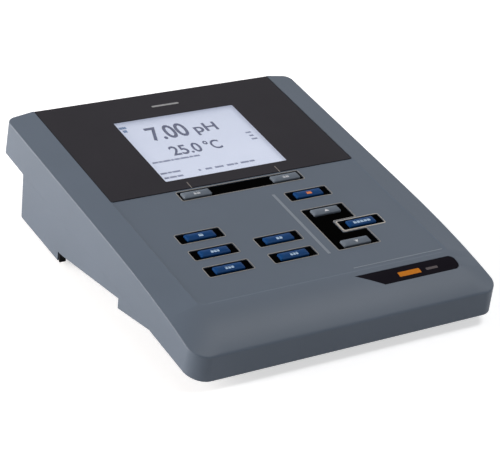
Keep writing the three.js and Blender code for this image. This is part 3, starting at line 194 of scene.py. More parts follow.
def plated_metal(name, colour, roughness=0.3, streak=(1, 1, 1), grain=0.6, depth=0.006):
    """Plated or rolled metal: fine streaks in the roughness and a faint stain in the colour."""
    material, nodes, links, shader, place = new_material(name)
    stretched = nodes.new("ShaderNodeMapping")
    stretched.inputs["Scale"].default_value = streak
    links.new(place, stretched.inputs["Vector"])
    fine = noise(nodes, links, stretched.outputs["Vector"], grain * MM, 3)
    slow = noise(nodes, links, place, 6 * MM, 2)
    tint = linear(colour)
    colours = two_tones(nodes, links, slow, dimmed(tint, 0.86), tint)
    links.new(colours, shader.inputs["Base Color"])
    shader.inputs["Metallic"].default_value = 1.0
    spread(nodes, links, shader, fine, roughness - 0.1, roughness + 0.12)
    relief(nodes, links, shader, fine, depth * MM)
    return material


nickel = plated_metal("nickel_plate", (196, 194, 186), 0.3)
for name in ("contact_strip_rear", "contact_strip_front"):
    machined(name, name + "_leaf", nickel, edge=0.08)

SLEEVE_FRONT = 9.9 * MM
SLEEVE_REAR = 60.9 * MM
CAN_STEEL = (168, 166, 158)
SLEEVE_GREEN = (52, 74, 68)
BAND_PALE = (196, 198, 192)


def sleeved_can(name):
    """A dark sleeve with a pale band and bare steel ends, drawn by its place along the cell."""
    material, nodes, links, shader, place = new_material(name)
    along = nodes.new("ShaderNodeSeparateXYZ")
    links.new(place, along.inputs["Vector"])
    share = nodes.new("ShaderNodeMapRange")
    share.inputs["From Min"].default_value = SLEEVE_FRONT
    share.inputs["From Max"].default_value = SLEEVE_REAR
    links.new(along.outputs["Y"], share.inputs["Value"])
    ramp = nodes.new("ShaderNodeValToRGB")
    ramp.color_ramp.interpolation = "CONSTANT"
    ramp.color_ramp.elements[0].color = linear(CAN_STEEL)
    ramp.color_ramp.elements[1].position = 0.035
    ramp.color_ramp.elements[1].color = linear(SLEEVE_GREEN)
    for position, colour in ((0.32, BAND_PALE), (0.36, SLEEVE_GREEN), (0.965, CAN_STEEL)):
        ramp.color_ramp.elements.new(position).color = linear(colour)
    links.new(share.outputs["Result"], ramp.inputs["Fac"])
    links.new(ramp.outputs["Color"], shader.inputs["Base Color"])
    fine = noise(nodes, links, place, 1.5 * MM)
    shader.inputs["Metallic"].default_value = 0.35
    spread(nodes, links, shader, fine, 0.24, 0.4)
    relief(nodes, links, shader, fine, 0.02 * MM)
    return material


cell_sleeve = sleeved_can("cell_sleeve")
for number in range(1, 5):
    machined(f"battery_{number}", f"battery_cell_{number}", cell_sleeve, edge=0.3)

# Battery lid: a plate of the housing's plastic with grip grooves near its rear end. It slides out
# rearwards on two tongues that run in grooves of the lower shell.

machined("battery_lid", "battery_lid_moulding", housing_plastic, "battery_lid_body", 0.25)

# Socket plate and sockets: a black plate in the rear wall that holds the round sensor socket, the
# coaxial electrode socket, two laboratory jacks, the square data port and the supply socket.

black_plastic = moulded_plastic("black_plastic", (26, 26, 28), (19, 19, 21), 0.46, 0.4, 0.02, 20)
machined("socket_plate", "socket_plate_moulding", black_plastic, edge=0.2)
for name in ("sensor_socket", "data_socket", "supply_socket"):
    machined(name, name + "_body", black_plastic, edge=0.12)
machined("electrode_socket", "electrode_socket_turning", nickel, edge=0.1)
gilt = plated_metal("gilt_contact", (214, 178, 108), 0.26)
machined("electrode_contact", "electrode_contact_turning", gilt, edge=0.1)
jack_plastic = moulded_plastic("jack_plastic", (34, 34, 36), (26, 26, 28), 0.38, 0.5, 0.015, 15)
for name in ("probe_jack_1", "probe_jack_2"):
    machined(name, name + "_body", jack_plastic, edge=0.12)

# Main board: glass epoxy under a green solder mask, with its processor, amplifier can and clock
# cell soldered on, held down by four screws and joined to the front board by a flat ribbon.

TRACK_PITCH = 9 * MM


def solder_mask(name):
    """Green lacquer over copper tracks that show as paler, raised lines."""
    material, nodes, links, shader, place = new_material(name)
    tracks = nodes.new("ShaderNodeTexBrick")
    tracks.inputs["Scale"].default_value = 1 / TRACK_PITCH
    tracks.inputs["Mortar Size"].default_value = 0.035
    tracks.inputs["Color1"].default_value = linear((24, 92, 52))
    tracks.inputs["Color2"].default_value = linear((20, 84, 46))
    tracks.inputs["Mortar"].default_value = linear((48, 124, 74))
    links.new(place, tracks.inputs["Vector"])
    links.new(tracks.outputs["Color"], shader.inputs["Base Color"])
    fine = noise(nodes, links, place, 0.8 * MM)
    spread(nodes, links, shader, fine, 0.28, 0.42)
    relief(nodes, links, shader, tracks.outputs["Fac"], 0.04 * MM)
    return material


board_green = solder_mask("solder_mask")
machined("main_board", "main_board_laminate", board_green, edge=0.08)
chip_epoxy = moulded_plastic("chip_epoxy", (38, 38, 40), (30, 30, 32), 0.6, 0.25, 0.02, 8)
machined("processor", "processor_package", chip_epoxy, edge=0.15)
tin_plate = plated_metal("tin_plate", (190, 192, 194), 0.36, (1, 8, 1))
machined("amplifier_shield", "amplifier_shield_can", tin_plate, edge=0.3)
machined("clock_cell", "clock_cell_can", tin_plate, edge=0.3)
machined("ribbon_socket_lower", "ribbon_socket_lower_body", black_plastic, edge=0.2)
zinc = plated_metal("zinc_plate", (178, 180, 184), 0.34)
for number in range(1, 5):
    machined(f"main_screw_{number}", f"main_board_screw_{number}", zinc, edge=0.15)

CORE_PITCH = 1.27 * MM


def ribbon_cores(name):
    """A flat cable: parallel cores in grey vinyl, seen as ribs across its width."""
    material, nodes, links, shader, place = new_material(name)
    ribs = nodes.new("ShaderNodeTexWave")
    ribs.bands_direction = "X"
    ribs.inputs["Scale"].default_value = 0.05 / CORE_PITCH
    links.new(place, ribs.inputs["Vector"])
    colours = two_tones(nodes, links, ribs.outputs["Fac"], linear((118, 120, 124)), linear((168, 170, 174)))
    links.new(colours, shader.inputs["Base Color"])
    spread(nodes, links, shader, noise(nodes, links, place, 1 * MM), 0.4, 0.55)
    relief(nodes, links, shader, ribs.outputs["Fac"], 0.2 * MM)
    return material


machined("ribbon_cable", "ribbon_cable_cores", ribbon_cores("ribbon_vinyl"), edge=0)

# Upper shell: one moulding, a slab of even depth that slopes to the user and rolls off at the
# nose. Its middle is sunk for the keys, and the display panel lies in a recess behind it.

SLOPE = math.radians(8)
WIDTH = 190 * MM
LENGTH = 222 * MM
SLAB = 22.5 * MM
RIM_LOWERED = 0.25 * MM
REAR_HEIGHT = 60 * MM
WALL = 2.5 * MM
TOP_WALL = 3 * MM
REAR_CORNER = 5 * MM
FRONT_CORNER = 10 * MM
EDGE = 0.5 * MM
FRONT_EDGE = 0.8 * MM
LEAST_EDGE = 0.2 * MM
SHOULDER = 78.4 * MM
SHOULDER_DROP = 2.6 * MM
SHOULDER_BEND = 120 * MM
NOSE_RUN = 29 * MM
NOSE_DROP = 9 * MM
NOSE_RADIUS = (NOSE_RUN**2 + NOSE_DROP**2) / (2 * NOSE_DROP)
FIELD_DEPTH = 0.5 * MM
FIELD_FRONT = LENGTH - NOSE_RUN
FIELD_CORNER = 5 * MM
FIELD_RAMP = 1.4 * MM
FIELD_INSIDE = 0.02 * MM
PANEL_HALF = 78.4 * MM
PANEL_DEPTH = 96.6 * MM
PANEL_SEAT = 2.1 * MM
PANEL_WRAP = 7.5 * MM
SEAT = 0.3 * MM
PAST = 3 * MM
WINDOW_HALF = 39.5 * MM
WINDOW_REAR = 24.4 * MM
WINDOW_FRONT = 87.1 * MM
WINDOW_LEDGE = 4 * MM

rear_top_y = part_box("upper_shell")[1].y - SLAB * math.sin(SLOPE)
ON_SLOPE = Matrix.Translation((0, rear_top_y, REAR_HEIGHT)) @ Matrix.Rotation(SLOPE, 4, "X")


def stacked(rings):
    """A closed form through rings of equal length, each a list of points."""
    form = bmesh.new()
    rows = [[form.verts.new(point) for point in ring] for ring in rings]
    count = len(rows[0])
    for low, high in zip(rows, rows[1:]):
        for i in range(count):
            j = (i + 1) % count
            form.faces.new((low[i], low[j], high[j], high[i]))
    form.faces.new(list(reversed(rows[0])))
    form.faces.new(rows[-1])
    return form


def prism(outline, low, high):
    """An outline in plan raised from one height to another."""
    return stacked([[(u, v, h) for u, v in outline] for h in (low, high)])


def block(left, right, front, rear, low, high):
    """A box between two sides, two ends and two heights."""
    return prism([(left, front), (right, front), (right, rear), (left, rear)], low, high)


def rounded_rectangle(half_length, half_depth, corner, u=0.0, v=0.0, steps=5):
    """Points of a rectangle with round corners, anticlockwise."""
    points = []
    for quarter, (side, end) in enumerate([(1, 1), (-1, 1), (-1, -1), (1, -1)]):
        for i in range(steps + 1):
            angle = math.radians(90 * quarter + 90 * i / steps)
            corner_u = u + side * (half_length - corner)
            corner_v = v + end * (half_depth - corner)
            points.append((corner_u + corner * math.cos(angle), corner_v + corner * math.sin(angle)))
    return points


def nose_drop(v):
    """How far the top has rolled off at a place on the slope."""
    past = min(max(0.0, -v - FIELD_FRONT), NOSE_RUN)
    return NOSE_RADIUS - math.sqrt(NOSE_RADIUS**2 - past**2)


def top_drop(u, v):
    """How far the top lies below its flat, which falls away to the sides beyond the shoulders."""
    bend = max(0.0, -v - SHOULDER_BEND) / (LENGTH - SHOULDER_BEND)
    side_drop = SHOULDER_DROP + (NOSE_DROP - SHOULDER_DROP) * bend**2.5
    outward = max(0.0, abs(u) - SHOULDER) / (WIDTH / 2 - SHOULDER)
    return nose_drop(v) + (side_drop - nose_drop(v)) * outward


def slab_half_outline(steps=14, bend_steps=40, nose_steps=14):
    """Right half of the slab's outline, rear to nose: place, outward normal, top edge radius."""
    points = [(Vector((SHOULDER, 0)), Vector((0, 1)), FRONT_EDGE)]
    rear_centre = Vector((WIDTH / 2 - REAR_CORNER, -REAR_CORNER))
    for i in range(steps + 1):
        angle = math.radians(90 - 90 * i / steps)
        normal = Vector((math.cos(angle), math.sin(angle)))
        edge = FRONT_EDGE + (EDGE - FRONT_EDGE) * i / steps
        points.append((rear_centre + normal * REAR_CORNER, normal, edge))
    side_end = LENGTH - FRONT_CORNER
    for i in range(bend_steps):
        v = -SHOULDER_BEND - i / bend_steps * (FIELD_FRONT - SHOULDER_BEND)
        points.append((Vector((WIDTH / 2, v)), Vector((1, 0)), EDGE))
    for i in range(nose_steps):
        v = -FIELD_FRONT - i / nose_steps * (side_end - FIELD_FRONT)
        points.append((Vector((WIDTH / 2, v)), Vector((1, 0)), EDGE))
    front_centre = Vector((WIDTH / 2 - FRONT_CORNER, -side_end))
    for i in range(steps + 1):
        angle = math.radians(-90 * i / steps)
        normal = Vector((math.cos(angle), math.sin(angle)))
        edge = EDGE + (FRONT_EDGE - EDGE) * i / steps
        points.append((front_centre + normal * FRONT_CORNER, normal, edge))
    points.append((Vector((SHOULDER, -LENGTH)), Vector((0, -1)), FRONT_EDGE))
    return points


def slab_form(inset=0.0, lowered=0.0, depth=SLAB, rounds=9):
    """The slab, or the same form drawn in by a wall and lowered."""
    half = slab_half_outline()
    outline = half + [(Vector((-p.x, p.y)), Vector((-n.x, n.y)), e) for p, n, e in reversed(half)]
    levels = [None] + [math.radians(90 * i / (rounds - 1)) for i in range(rounds)]
    form = bmesh.new()
    rows = []
    for level in levels:
        row = []
        for place, normal, edge in outline:
            radius = max(LEAST_EDGE, edge - inset)
            drawn_in = inset if level is None else inset + radius * (1 - math.cos(level))
            u, v = place - normal * drawn_in
            h = -depth if level is None else -top_drop(u, v) - lowered - radius * (1 - math.sin(level))
            lean = max(0.0, -normal.y) * (-h - NOSE_DROP) * math.tan(SLOPE)
            row.append(form.verts.new((u, v - lean, h)))
        rows.append(row)
    count = len(outline)
    for low, high in zip(rows, rows[1:]):
        for i in range(count):
            j = (i + 1) % count
            form.faces.new((low[i], low[j], high[j], high[i]))
    last = len(half) - 1
    for row in (rows[0], rows[-1]):
        ribs = [(row[-2], row[-1], row[0], row[1])]
        for i in range(2, last - 1):
            v = row[i].co.y
            h = -depth if row is rows[0] else -nose_drop(v) - lowered
            inner = [form.verts.new((u, v, h)) for u in (-SHOULDER, SHOULDER)]
            ribs.append((row[-1 - i], *inner, row[i]))
        ribs.append((row[last + 2], row[last + 1], row[last], row[last - 1]))
        for here, beyond in zip(ribs, ribs[1:]):
            for j in range(3):
                form.faces.new((here[j], here[j + 1], beyond[j + 1], beyond[j]))
    bmesh.ops.recalc_face_normals(form, faces=form.faces)
    bmesh.ops.triangulate(form, faces=form.faces)
    return form


def apply_modifiers(piece):
    """Makes what the piece's modifiers show its own mesh."""
    view = bpy.context.evaluated_depsgraph_get()
    made = bpy.data.meshes.new_from_object(piece.evaluated_get(view))
    piece.modifiers.clear()
    piece.data = made


def carve(piece, tools, operation="DIFFERENCE", place=ON_SLOPE):
    """Cuts each tool out of the piece in turn, or keeps only what lies within it."""
    for form in tools:
        bmesh.ops.recalc_face_normals(form, faces=form.faces)
        mesh = bpy.data.meshes.new("tool")
        form.to_mesh(mesh)
        form.free()
        mesh.transform(place)
        tool = bpy.data.objects.new("tool", mesh)
        bpy.context.scene.collection.objects.link(tool)
        cut = piece.modifiers.new("cut", "BOOLEAN")
        cut.operation = operation
        cut.solver = "EXACT"
        cut.object = tool
        apply_modifiers(piece)
        bpy.data.objects.remove(tool)
        bpy.data.meshes.remove(mesh)
    closed = bmesh.new()
    closed.from_mesh(piece.data)
    bmesh.ops.remove_doubles(closed, verts=closed.verts, dist=WELD)
    bmesh.ops.dissolve_degenerate(closed, edges=closed.edges, dist=WELD)
    bmesh.ops.holes_fill(closed, edges=[e for e in closed.edges if e.is_boundary], sides=8)
    closed.to_mesh(piece.data)
    closed.free()


def shaded(piece, crease=35):
    """Smooth shading that breaks at real edges and stays even over wide flats."""
    piece.data.shade_smooth()
    piece.data.set_sharp_from_angle(angle=math.radians(crease))
    evened(piece)


KEY_HALF_LENGTH = 8.8 * MM
KEY_HALF_DEPTH = 2.8 * MM
WELL_HALF_LENGTH = 13.5 * MM
WELL_HALF_DEPTH = 4.2 * MM
WELL_CORNER = 0.9 * MM
ISLAND_RIM = 1.5 * MM
FUNCTION_END = 1.7 * MM
ROW_PITCH = 15.2 * MM
FUNCTION_ROW = 102.3 * MM
POWER_ROW = 120.4 * MM
FIRST_ROW = 138.3 * MM
SECOND_ROW = FIRST_ROW + ROW_PITCH
THIRD_ROW = SECOND_ROW + ROW_PITCH
LEFT_COLUMN = -46.8 * MM
MIDDLE_COLUMN = -7 * MM
RIGHT_COLUMN = 33 * MM
ENTER_COLUMN = 46.6 * MM
FUNCTION_SPREAD = 28.8 * MM
SINGLE_WELLS = [
    (RIGHT_COLUMN, POWER_ROW),
    (LEFT_COLUMN, FIRST_ROW),
    (LEFT_COLUMN, SECOND_ROW),
    (LEFT_COLUMN, THIRD_ROW),
    (MIDDLE_COLUMN, SECOND_ROW),
    (MIDDLE_COLUMN, THIRD_ROW),
    (ENTER_COLUMN, SECOND_ROW),
]


def turned_corners(corners, radius, steps=4):
    """An outline of straight runs with each corner, inward or outward, turned by an arc."""
    points = []
    for i, corner in enumerate(corners):
        here = Vector(corner)
        start = here + (Vector(corners[i - 1]) - here).normalized() * radius
        end = here + (Vector(corners[(i + 1) % len(corners)]) - here).normalized() * radius
        for step in range(steps + 1):
            share = step / steps
            points.append(tuple(start.lerp(here, share).lerp(here.lerp(end, share), share)))
    return points


def single_well(u, row, grown=0.0):
    """The opening of one key."""
    return rounded_rectangle(
        WELL_HALF_LENGTH + grown, WELL_HALF_DEPTH + grown, WELL_CORNER + grown, u, -row
    )


def function_well(grown=0.0):
    """The long opening that the two function keys share."""
    half = FUNCTION_SPREAD + KEY_HALF_LENGTH + FUNCTION_END + grown
    return rounded_rectangle(half, WELL_HALF_DEPTH + grown, WELL_CORNER + grown, 0, -FUNCTION_ROW)


def arrow_well(grown=0.0):
    """The C-shaped opening of the two arrow keys, round the island that holds the enter key."""
    left = RIGHT_COLUMN - WELL_HALF_LENGTH - grown
    right = RIGHT_COLUMN + WELL_HALF_LENGTH + grown
    rear = -FIRST_ROW + WELL_HALF_DEPTH + grown
    front = -THIRD_ROW - WELL_HALF_DEPTH - grown
    island_left = ENTER_COLUMN - WELL_HALF_LENGTH - ISLAND_RIM + grown
    island_rear = -SECOND_ROW + WELL_HALF_DEPTH + ISLAND_RIM - grown
    island_front = -SECOND_ROW - WELL_HALF_DEPTH - ISLAND_RIM + grown
    outside = [(right, rear), (left, rear), (left, front), (right, front)]
    front_side = [(right, island_front), (island_left, island_front)]
    rear_side = [(island_left, island_rear), (right, island_rear)]
    return turned_corners(outside + front_side + rear_side, WELL_CORNER)


BADGE_LEFT = 14.5 * MM
BADGE_RIGHT = 77.3 * MM
BADGE_REAR = 196.8 * MM
BADGE_FRONT = 205.9 * MM
BADGE_SLANT = 13.5 * MM
BADGE_CORNER = 3.5 * MM
BADGE_THICK = 0.7 * MM


def badge_outline(grown=0.0, steps=8):
    """A bar with a slanted left end and round right corners."""
    rear, front = -BADGE_REAR + grown, -BADGE_FRONT - grown
    right = BADGE_RIGHT + grown
    points = [(BADGE_LEFT - 2 * grown, rear), (BADGE_LEFT + BADGE_SLANT - grown, front)]
    for v, start in ((front + BADGE_CORNER, -90), (rear - BADGE_CORNER, 0)):
        for i in range(steps + 1):
            angle = math.radians(start + 90 * i / steps)
            corner_u = right - BADGE_CORNER + BADGE_CORNER * math.cos(angle)
            points.append((corner_u, v + BADGE_CORNER * math.sin(angle)))
    return points


def field_ring(h, wider):
    """The key field's outline at one height. It stays just inside the lines of the panel, the
    shoulders and the nose, because a cut through points of the slab's own mesh tears it."""
    middle = -(FIELD_FRONT + PANEL_DEPTH - FIELD_CORNER) / 2
    across = PANEL_HALF - FIELD_INSIDE
    along = (FIELD_FRONT - PANEL_DEPTH + FIELD_CORNER) / 2 - FIELD_INSIDE
    outline = rounded_rectangle(across + wider, along + wider, FIELD_CORNER, 0, middle, 8)
    return [(u, v, h) for u, v in outline]


whole_slab = slab_form(depth=SLAB + RIM_LOWERED)
upper_shell = finished("upper_shell_moulding", whole_slab, housing_plastic, place=ON_SLOPE)
field = stacked(
    [field_ring(-FIELD_DEPTH, -FIELD_RAMP), field_ring(PAST, PAST * FIELD_RAMP / FIELD_DEPTH)]
)
view_opening = block(
    -WINDOW_HALF - WINDOW_LEDGE,
    WINDOW_HALF + WINDOW_LEDGE,
    -WINDOW_FRONT - WINDOW_LEDGE,
    -WINDOW_REAR + WINDOW_LEDGE,
    -TOP_WALL - PAST,
    0,
)
wells = [single_well(u, row) for u, row in SINGLE_WELLS] + [function_well(), arrow_well()]
badge_column = prism(badge_outline(SEAT), -TOP_WALL - PAST, PAST)
badge_seat = finished("badge_seat", badge_column, housing_plastic)
carve(badge_seat, [slab_form(lowered=BADGE_THICK + SEAT)], place=Matrix.Identity(4))
badge_cut = bmesh.new()
badge_cut.from_mesh(badge_seat.data)
bpy.data.objects.remove(badge_seat)
carve(
    upper_shell,
    [
        slab_form(inset=WALL, lowered=TOP_WALL, depth=SLAB + PAST),
        field,
        block(-PANEL_HALF, PANEL_HALF, -PANEL_DEPTH, PAST, -PANEL_SEAT, PAST),
        block(-PANEL_HALF, PANEL_HALF, -PANEL_SEAT, PAST, -PANEL_WRAP, PAST),
        view_opening,
        *[prism(outline, -TOP_WALL - PAST, PAST) for outline in wells],
        badge_cut,
    ],
)
shaded(upper_shell)
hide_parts("upper_shell")

# Key opening highlights: a thin pale ring round each opening, a painted highlight for the light
# that its rim catches, and a wider, brighter painted highlight round the island of the enter key.


def edging(outline, inner, low, high):
    """A flat ring between two outlines with the same number of points."""
    form = bmesh.new()
    rows = [
        [form.verts.new((u, v, h)) for u, v in line]
        for line, h in ((inner, low), (inner, high), (outline, high), (outline, low))
    ]
    count = len(inner)
    for a in range(4):
        b = (a + 1) % 4
        for i in range(count):
            j = (i + 1) % count
            form.faces.new((rows[a][i], rows[a][j], rows[b][j], rows[b][i]))
    return form


def lacquer(name, colour, roughness=0.42, gloss=0.5):
    """A thin printed or painted coat: slightly uneven colour with a soft orange-peel relief."""
    material, nodes, links, shader, place = new_material(name)
    shader.inputs["Specular IOR Level"].default_value = gloss
    fine = noise(nodes, links, place, 0.5 * MM)
    tint = linear(colour)
    links.new(two_tones(nodes, links, fine, dimmed(tint, 0.86), tint), shader.inputs["Base Color"])
    spread(nodes, links, shader, fine, roughness - 0.06, roughness + 0.06)
    relief(nodes, links, shader, fine, 0.01 * MM)
    return material


RIM_HIGHLIGHT_WIDE = 0.45 * MM
RIM_HIGHLIGHT_HIGH = 0.08 * MM
ISLAND_RIM_HIGHLIGHT_WIDE = 1.4 * RIM_HIGHLIGHT_WIDE
ISLAND_RIM_HIGHLIGHT_LEFT = 0.3 * MM
ISLAND_RIM_HIGHLIGHT_FRONT = 0.15 * MM
# Painted highlights: these pale rings stand in for the light caught by the rims of the openings.
pale_rim_highlight = lacquer("pale_rim_highlight", (140, 137, 134))
# A brighter painted highlight for the rim of the enter key's island.
bright_rim_highlight = lacquer("bright_rim_highlight", (190, 184, 176))
field_top = -FIELD_DEPTH


def rim_highlight(name, outline, inner, material):
    """A painted highlight: a pale ring on the field between the edge of an opening and an outline round it.
    """
    ring = edging(outline, inner, field_top - RIM_HIGHLIGHT_HIGH, field_top + RIM_HIGHLIGHT_HIGH)
    finished(name, ring, material, place=ON_SLOPE)


for number, (u, row) in enumerate(SINGLE_WELLS[:-1], 1):
    rim_highlight(f"key_rim_highlight_{number}", single_well(u, row, RIM_HIGHLIGHT_WIDE), single_well(u, row), pale_rim_highlight)
rim_highlight("function_key_rim_highlight", function_well(RIM_HIGHLIGHT_WIDE), function_well(), pale_rim_highlight)
rim_highlight("arrow_key_rim_highlight", arrow_well(RIM_HIGHLIGHT_WIDE), arrow_well(), pale_rim_highlight)
# The island's painted highlight is set off to be wider on its left and front sides, where the light falls.
island_outline = single_well(
    ENTER_COLUMN - ISLAND_RIM_HIGHLIGHT_LEFT, SECOND_ROW + ISLAND_RIM_HIGHLIGHT_FRONT, ISLAND_RIM_HIGHLIGHT_WIDE
)
rim_highlight("enter_key_rim_highlight", island_outline, single_well(ENTER_COLUMN, SECOND_ROW), bright_rim_highlight)

# Front board, key mat and key insert: the board is screwed to posts under the slab, the silicone
# mat with its domes lies on it, and the black insert lies above them and lines the openings.

machined("front_board", "front_board_laminate", board_green, edge=0.08)
machined("ribbon_socket_upper", "ribbon_socket_upper_body", black_plastic, edge=0.2)
for number in range(1, 5):
    machined(f"board_screw_{number}", f"front_board_screw_{number}", zinc, edge=0.15)
silicone = moulded_plastic("silicone_mat", (150, 152, 154), (138, 140, 143), 0.7, 0.7, 0.03, 20)
machined("key_mat", "key_mat_silicone", silicone, edge=0.1)
insert_plastic = moulded_plastic("insert_plastic", (7, 7, 7), (5, 5, 5), 0.7, 0.4, 0.02, 20, 0.0)
machined("key_insert", "key_insert_moulding", insert_plastic, edge=0.1)

# Keys: hard caps, blue or grey, moulded with a flange that catches under the insert, their tops
# crowned and their edges rounded. The legends are plain pad-printed marks.

KEY_FLANGE = 1.5 * MM
KEY_FLANGE_LOW = 5.6 * MM
KEY_FLANGE_HIGH = 4.8 * MM
KEY_TOP = 0.5 * MM
KEY_ROUND = 0.75 * MM
KEY_ROUND_STEPS = 6
KEY_CORNER = 0.9 * MM
LEAST_KEY_CORNER = 0.25 * MM
CROWN_CORNER = 0.2 * MM
CROWN_RISE = 0.3 * MM
CROWN_RINGS = ((1.1, 0.14), (1.6, 0.22), (2.2, 0.28), (2.6, 0.3))
MARK_ROOT = 0.16 * MM
MARK_FORWARD = 0.5 * MM


def key_cap(u, row):
    """A cap: flange, stem, quarter-round edge and a top that rises a little to its middle."""

    def ring(half_length, half_depth, corner, h):
        outline = rounded_rectangle(half_length, half_depth, corner, u, -row)
        return [(x, y, h) for x, y in outline]

    wide, deep = KEY_HALF_LENGTH + KEY_FLANGE, KEY_HALF_DEPTH + KEY_FLANGE
    rings = [
        ring(wide, deep, KEY_CORNER + KEY_FLANGE, -KEY_FLANGE_LOW),
        ring(wide, deep, KEY_CORNER + KEY_FLANGE, -KEY_FLANGE_HIGH),
        ring(KEY_HALF_LENGTH, KEY_HALF_DEPTH, KEY_CORNER, -KEY_FLANGE_HIGH),
    ]
    shoulder = KEY_TOP - CROWN_RISE
    for step in range(KEY_ROUND_STEPS + 1):
        angle = math.radians(90 * step / KEY_ROUND_STEPS)
        drawn = KEY_ROUND * (1 - math.cos(angle))
        h = shoulder - KEY_ROUND * (1 - math.sin(angle))
        corner = max(LEAST_KEY_CORNER, KEY_CORNER - drawn)
        rings.append(ring(KEY_HALF_LENGTH - drawn, KEY_HALF_DEPTH - drawn, corner, h))
    for drawn, rise in CROWN_RINGS:
        half_deep = KEY_HALF_DEPTH - drawn * MM
        half_long = KEY_HALF_LENGTH - drawn * MM
        corner = min(CROWN_CORNER, half_deep * 0.9)
        rings.append(ring(half_long, half_deep, corner, shoulder + rise * MM))
    return stacked(rings)


def gathered(parts):
    """Several forms as one."""
    form = bmesh.new()
    for part in parts:
        mesh = bpy.data.meshes.new("part")
        part.to_mesh(mesh)
        part.free()
        form.from_mesh(mesh)
        bpy.data.meshes.remove(mesh)
    return form


def bars(u, row, widths, height=1.9, gap=0.35):
    """A row of plain upright blocks, as wide as a short legend."""
    total = sum(widths) + gap * (len(widths) - 1)
    left = u - total / 2 * MM
    outlines = []
    for wide in widths:
        outlines.append(
            rounded_rectangle(wide / 2 * MM, height / 2 * MM, 0.2 * MM, left + wide / 2 * MM, -row, 2)
        )
        left += (wide + gap) * MM
    return outlines


def triangle(u, row, direction, size=1.5):
    """A plain arrowhead that points to the rear, or to the front where the direction is -1."""
    tip = direction * size * MM
    base = -row - tip * 0.6
    corners = [(u - size * MM, base), (u + size * MM, base), (u, -row + tip * 0.8)]
    return [turned_corners(corners, 0.15 * MM, 2)]


key_blue = moulded_plastic("key_blue", (17, 65, 118), (13, 58, 108), 0.36, 0.5, 0.012, 12, 0.05)
key_grey = moulded_plastic("key_grey", (112, 121, 132), (103, 112, 124), 0.36, 0.5, 0.012, 12, 0.05)
white_ink = lacquer("white_ink", (176, 204, 232))
orange_ink = lacquer("orange_ink", (236, 128, 52))
pale_ink = lacquer("pale_ink", (226, 228, 232))
smoke_ink = lacquer("smoke_ink", (196, 200, 206))
KEYS = {
    "function_key_left": (-FUNCTION_SPREAD, FUNCTION_ROW, key_grey, [1.5, 2.0], smoke_ink),
    "function_key_right": (FUNCTION_SPREAD, FUNCTION_ROW, key_grey, [1.5, 2.0], smoke_ink),
    "power_key": (RIGHT_COLUMN, POWER_ROW, key_blue, [3.2], orange_ink),
    "measure_key": (LEFT_COLUMN, FIRST_ROW, key_blue, [2.6], white_ink),
    "calibrate_key": (LEFT_COLUMN, SECOND_ROW, key_blue, [1.5, 1.5, 1.3], white_ink),
    "store_key": (LEFT_COLUMN, THIRD_ROW, key_blue, [1.4, 1.4, 1.5], white_ink),
    "hold_key": (MIDDLE_COLUMN, SECOND_ROW, key_blue, [1.6, 1.6], white_ink),
    "recall_key": (MIDDLE_COLUMN, THIRD_ROW, key_blue, [1.4, 1.4, 1.2], white_ink),
    "up_key": (RIGHT_COLUMN, FIRST_ROW, key_grey, 1, pale_ink),
    "enter_key": (ENTER_COLUMN, SECOND_ROW, key_blue, [1.9, 1.9, 1.9, 1.9, 1.9], white_ink),
    "down_key": (RIGHT_COLUMN, THIRD_ROW, key_grey, -1, pale_ink),
}
for name, (u, row, plastic, legend, ink) in KEYS.items():
    cap = finished(name + "_cap", key_cap(u, row), plastic, name + "_body", ON_SLOPE, crease=50)
    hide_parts(name)
    middle = row + MARK_FORWARD
    outlines = triangle(u, middle, legend) if isinstance(legend, int) else bars(u, middle, legend)
    mark = gathered([prism(outline, KEY_TOP - MARK_ROOT, KEY_TOP) for outline in outlines])
    finished(name + "_mark", mark, ink, name + "_body", ON_SLOPE)

# Display: a liquid-crystal cell in its carrier over a backlight, right behind the window. The
# dark figures lie on the cell's lit face, over a faint grid of pixels.

CELL_HALF = 43.5 * MM
CELL_REAR = 20.4 * MM
CELL_FRONT = 91.1 * MM
CELL_BACK = 5.6 * MM
CELL_TOP = 3.6 * MM
FACE_BORDER = 3.4 * MM
FACE_ROOT = 4 * MM
GLASS_TOP = 2.1 * MM
PIXEL_PITCH = 0.8 * MM
machined("display_carrier", "display_carrier_frame", black_plastic, edge=0.15)


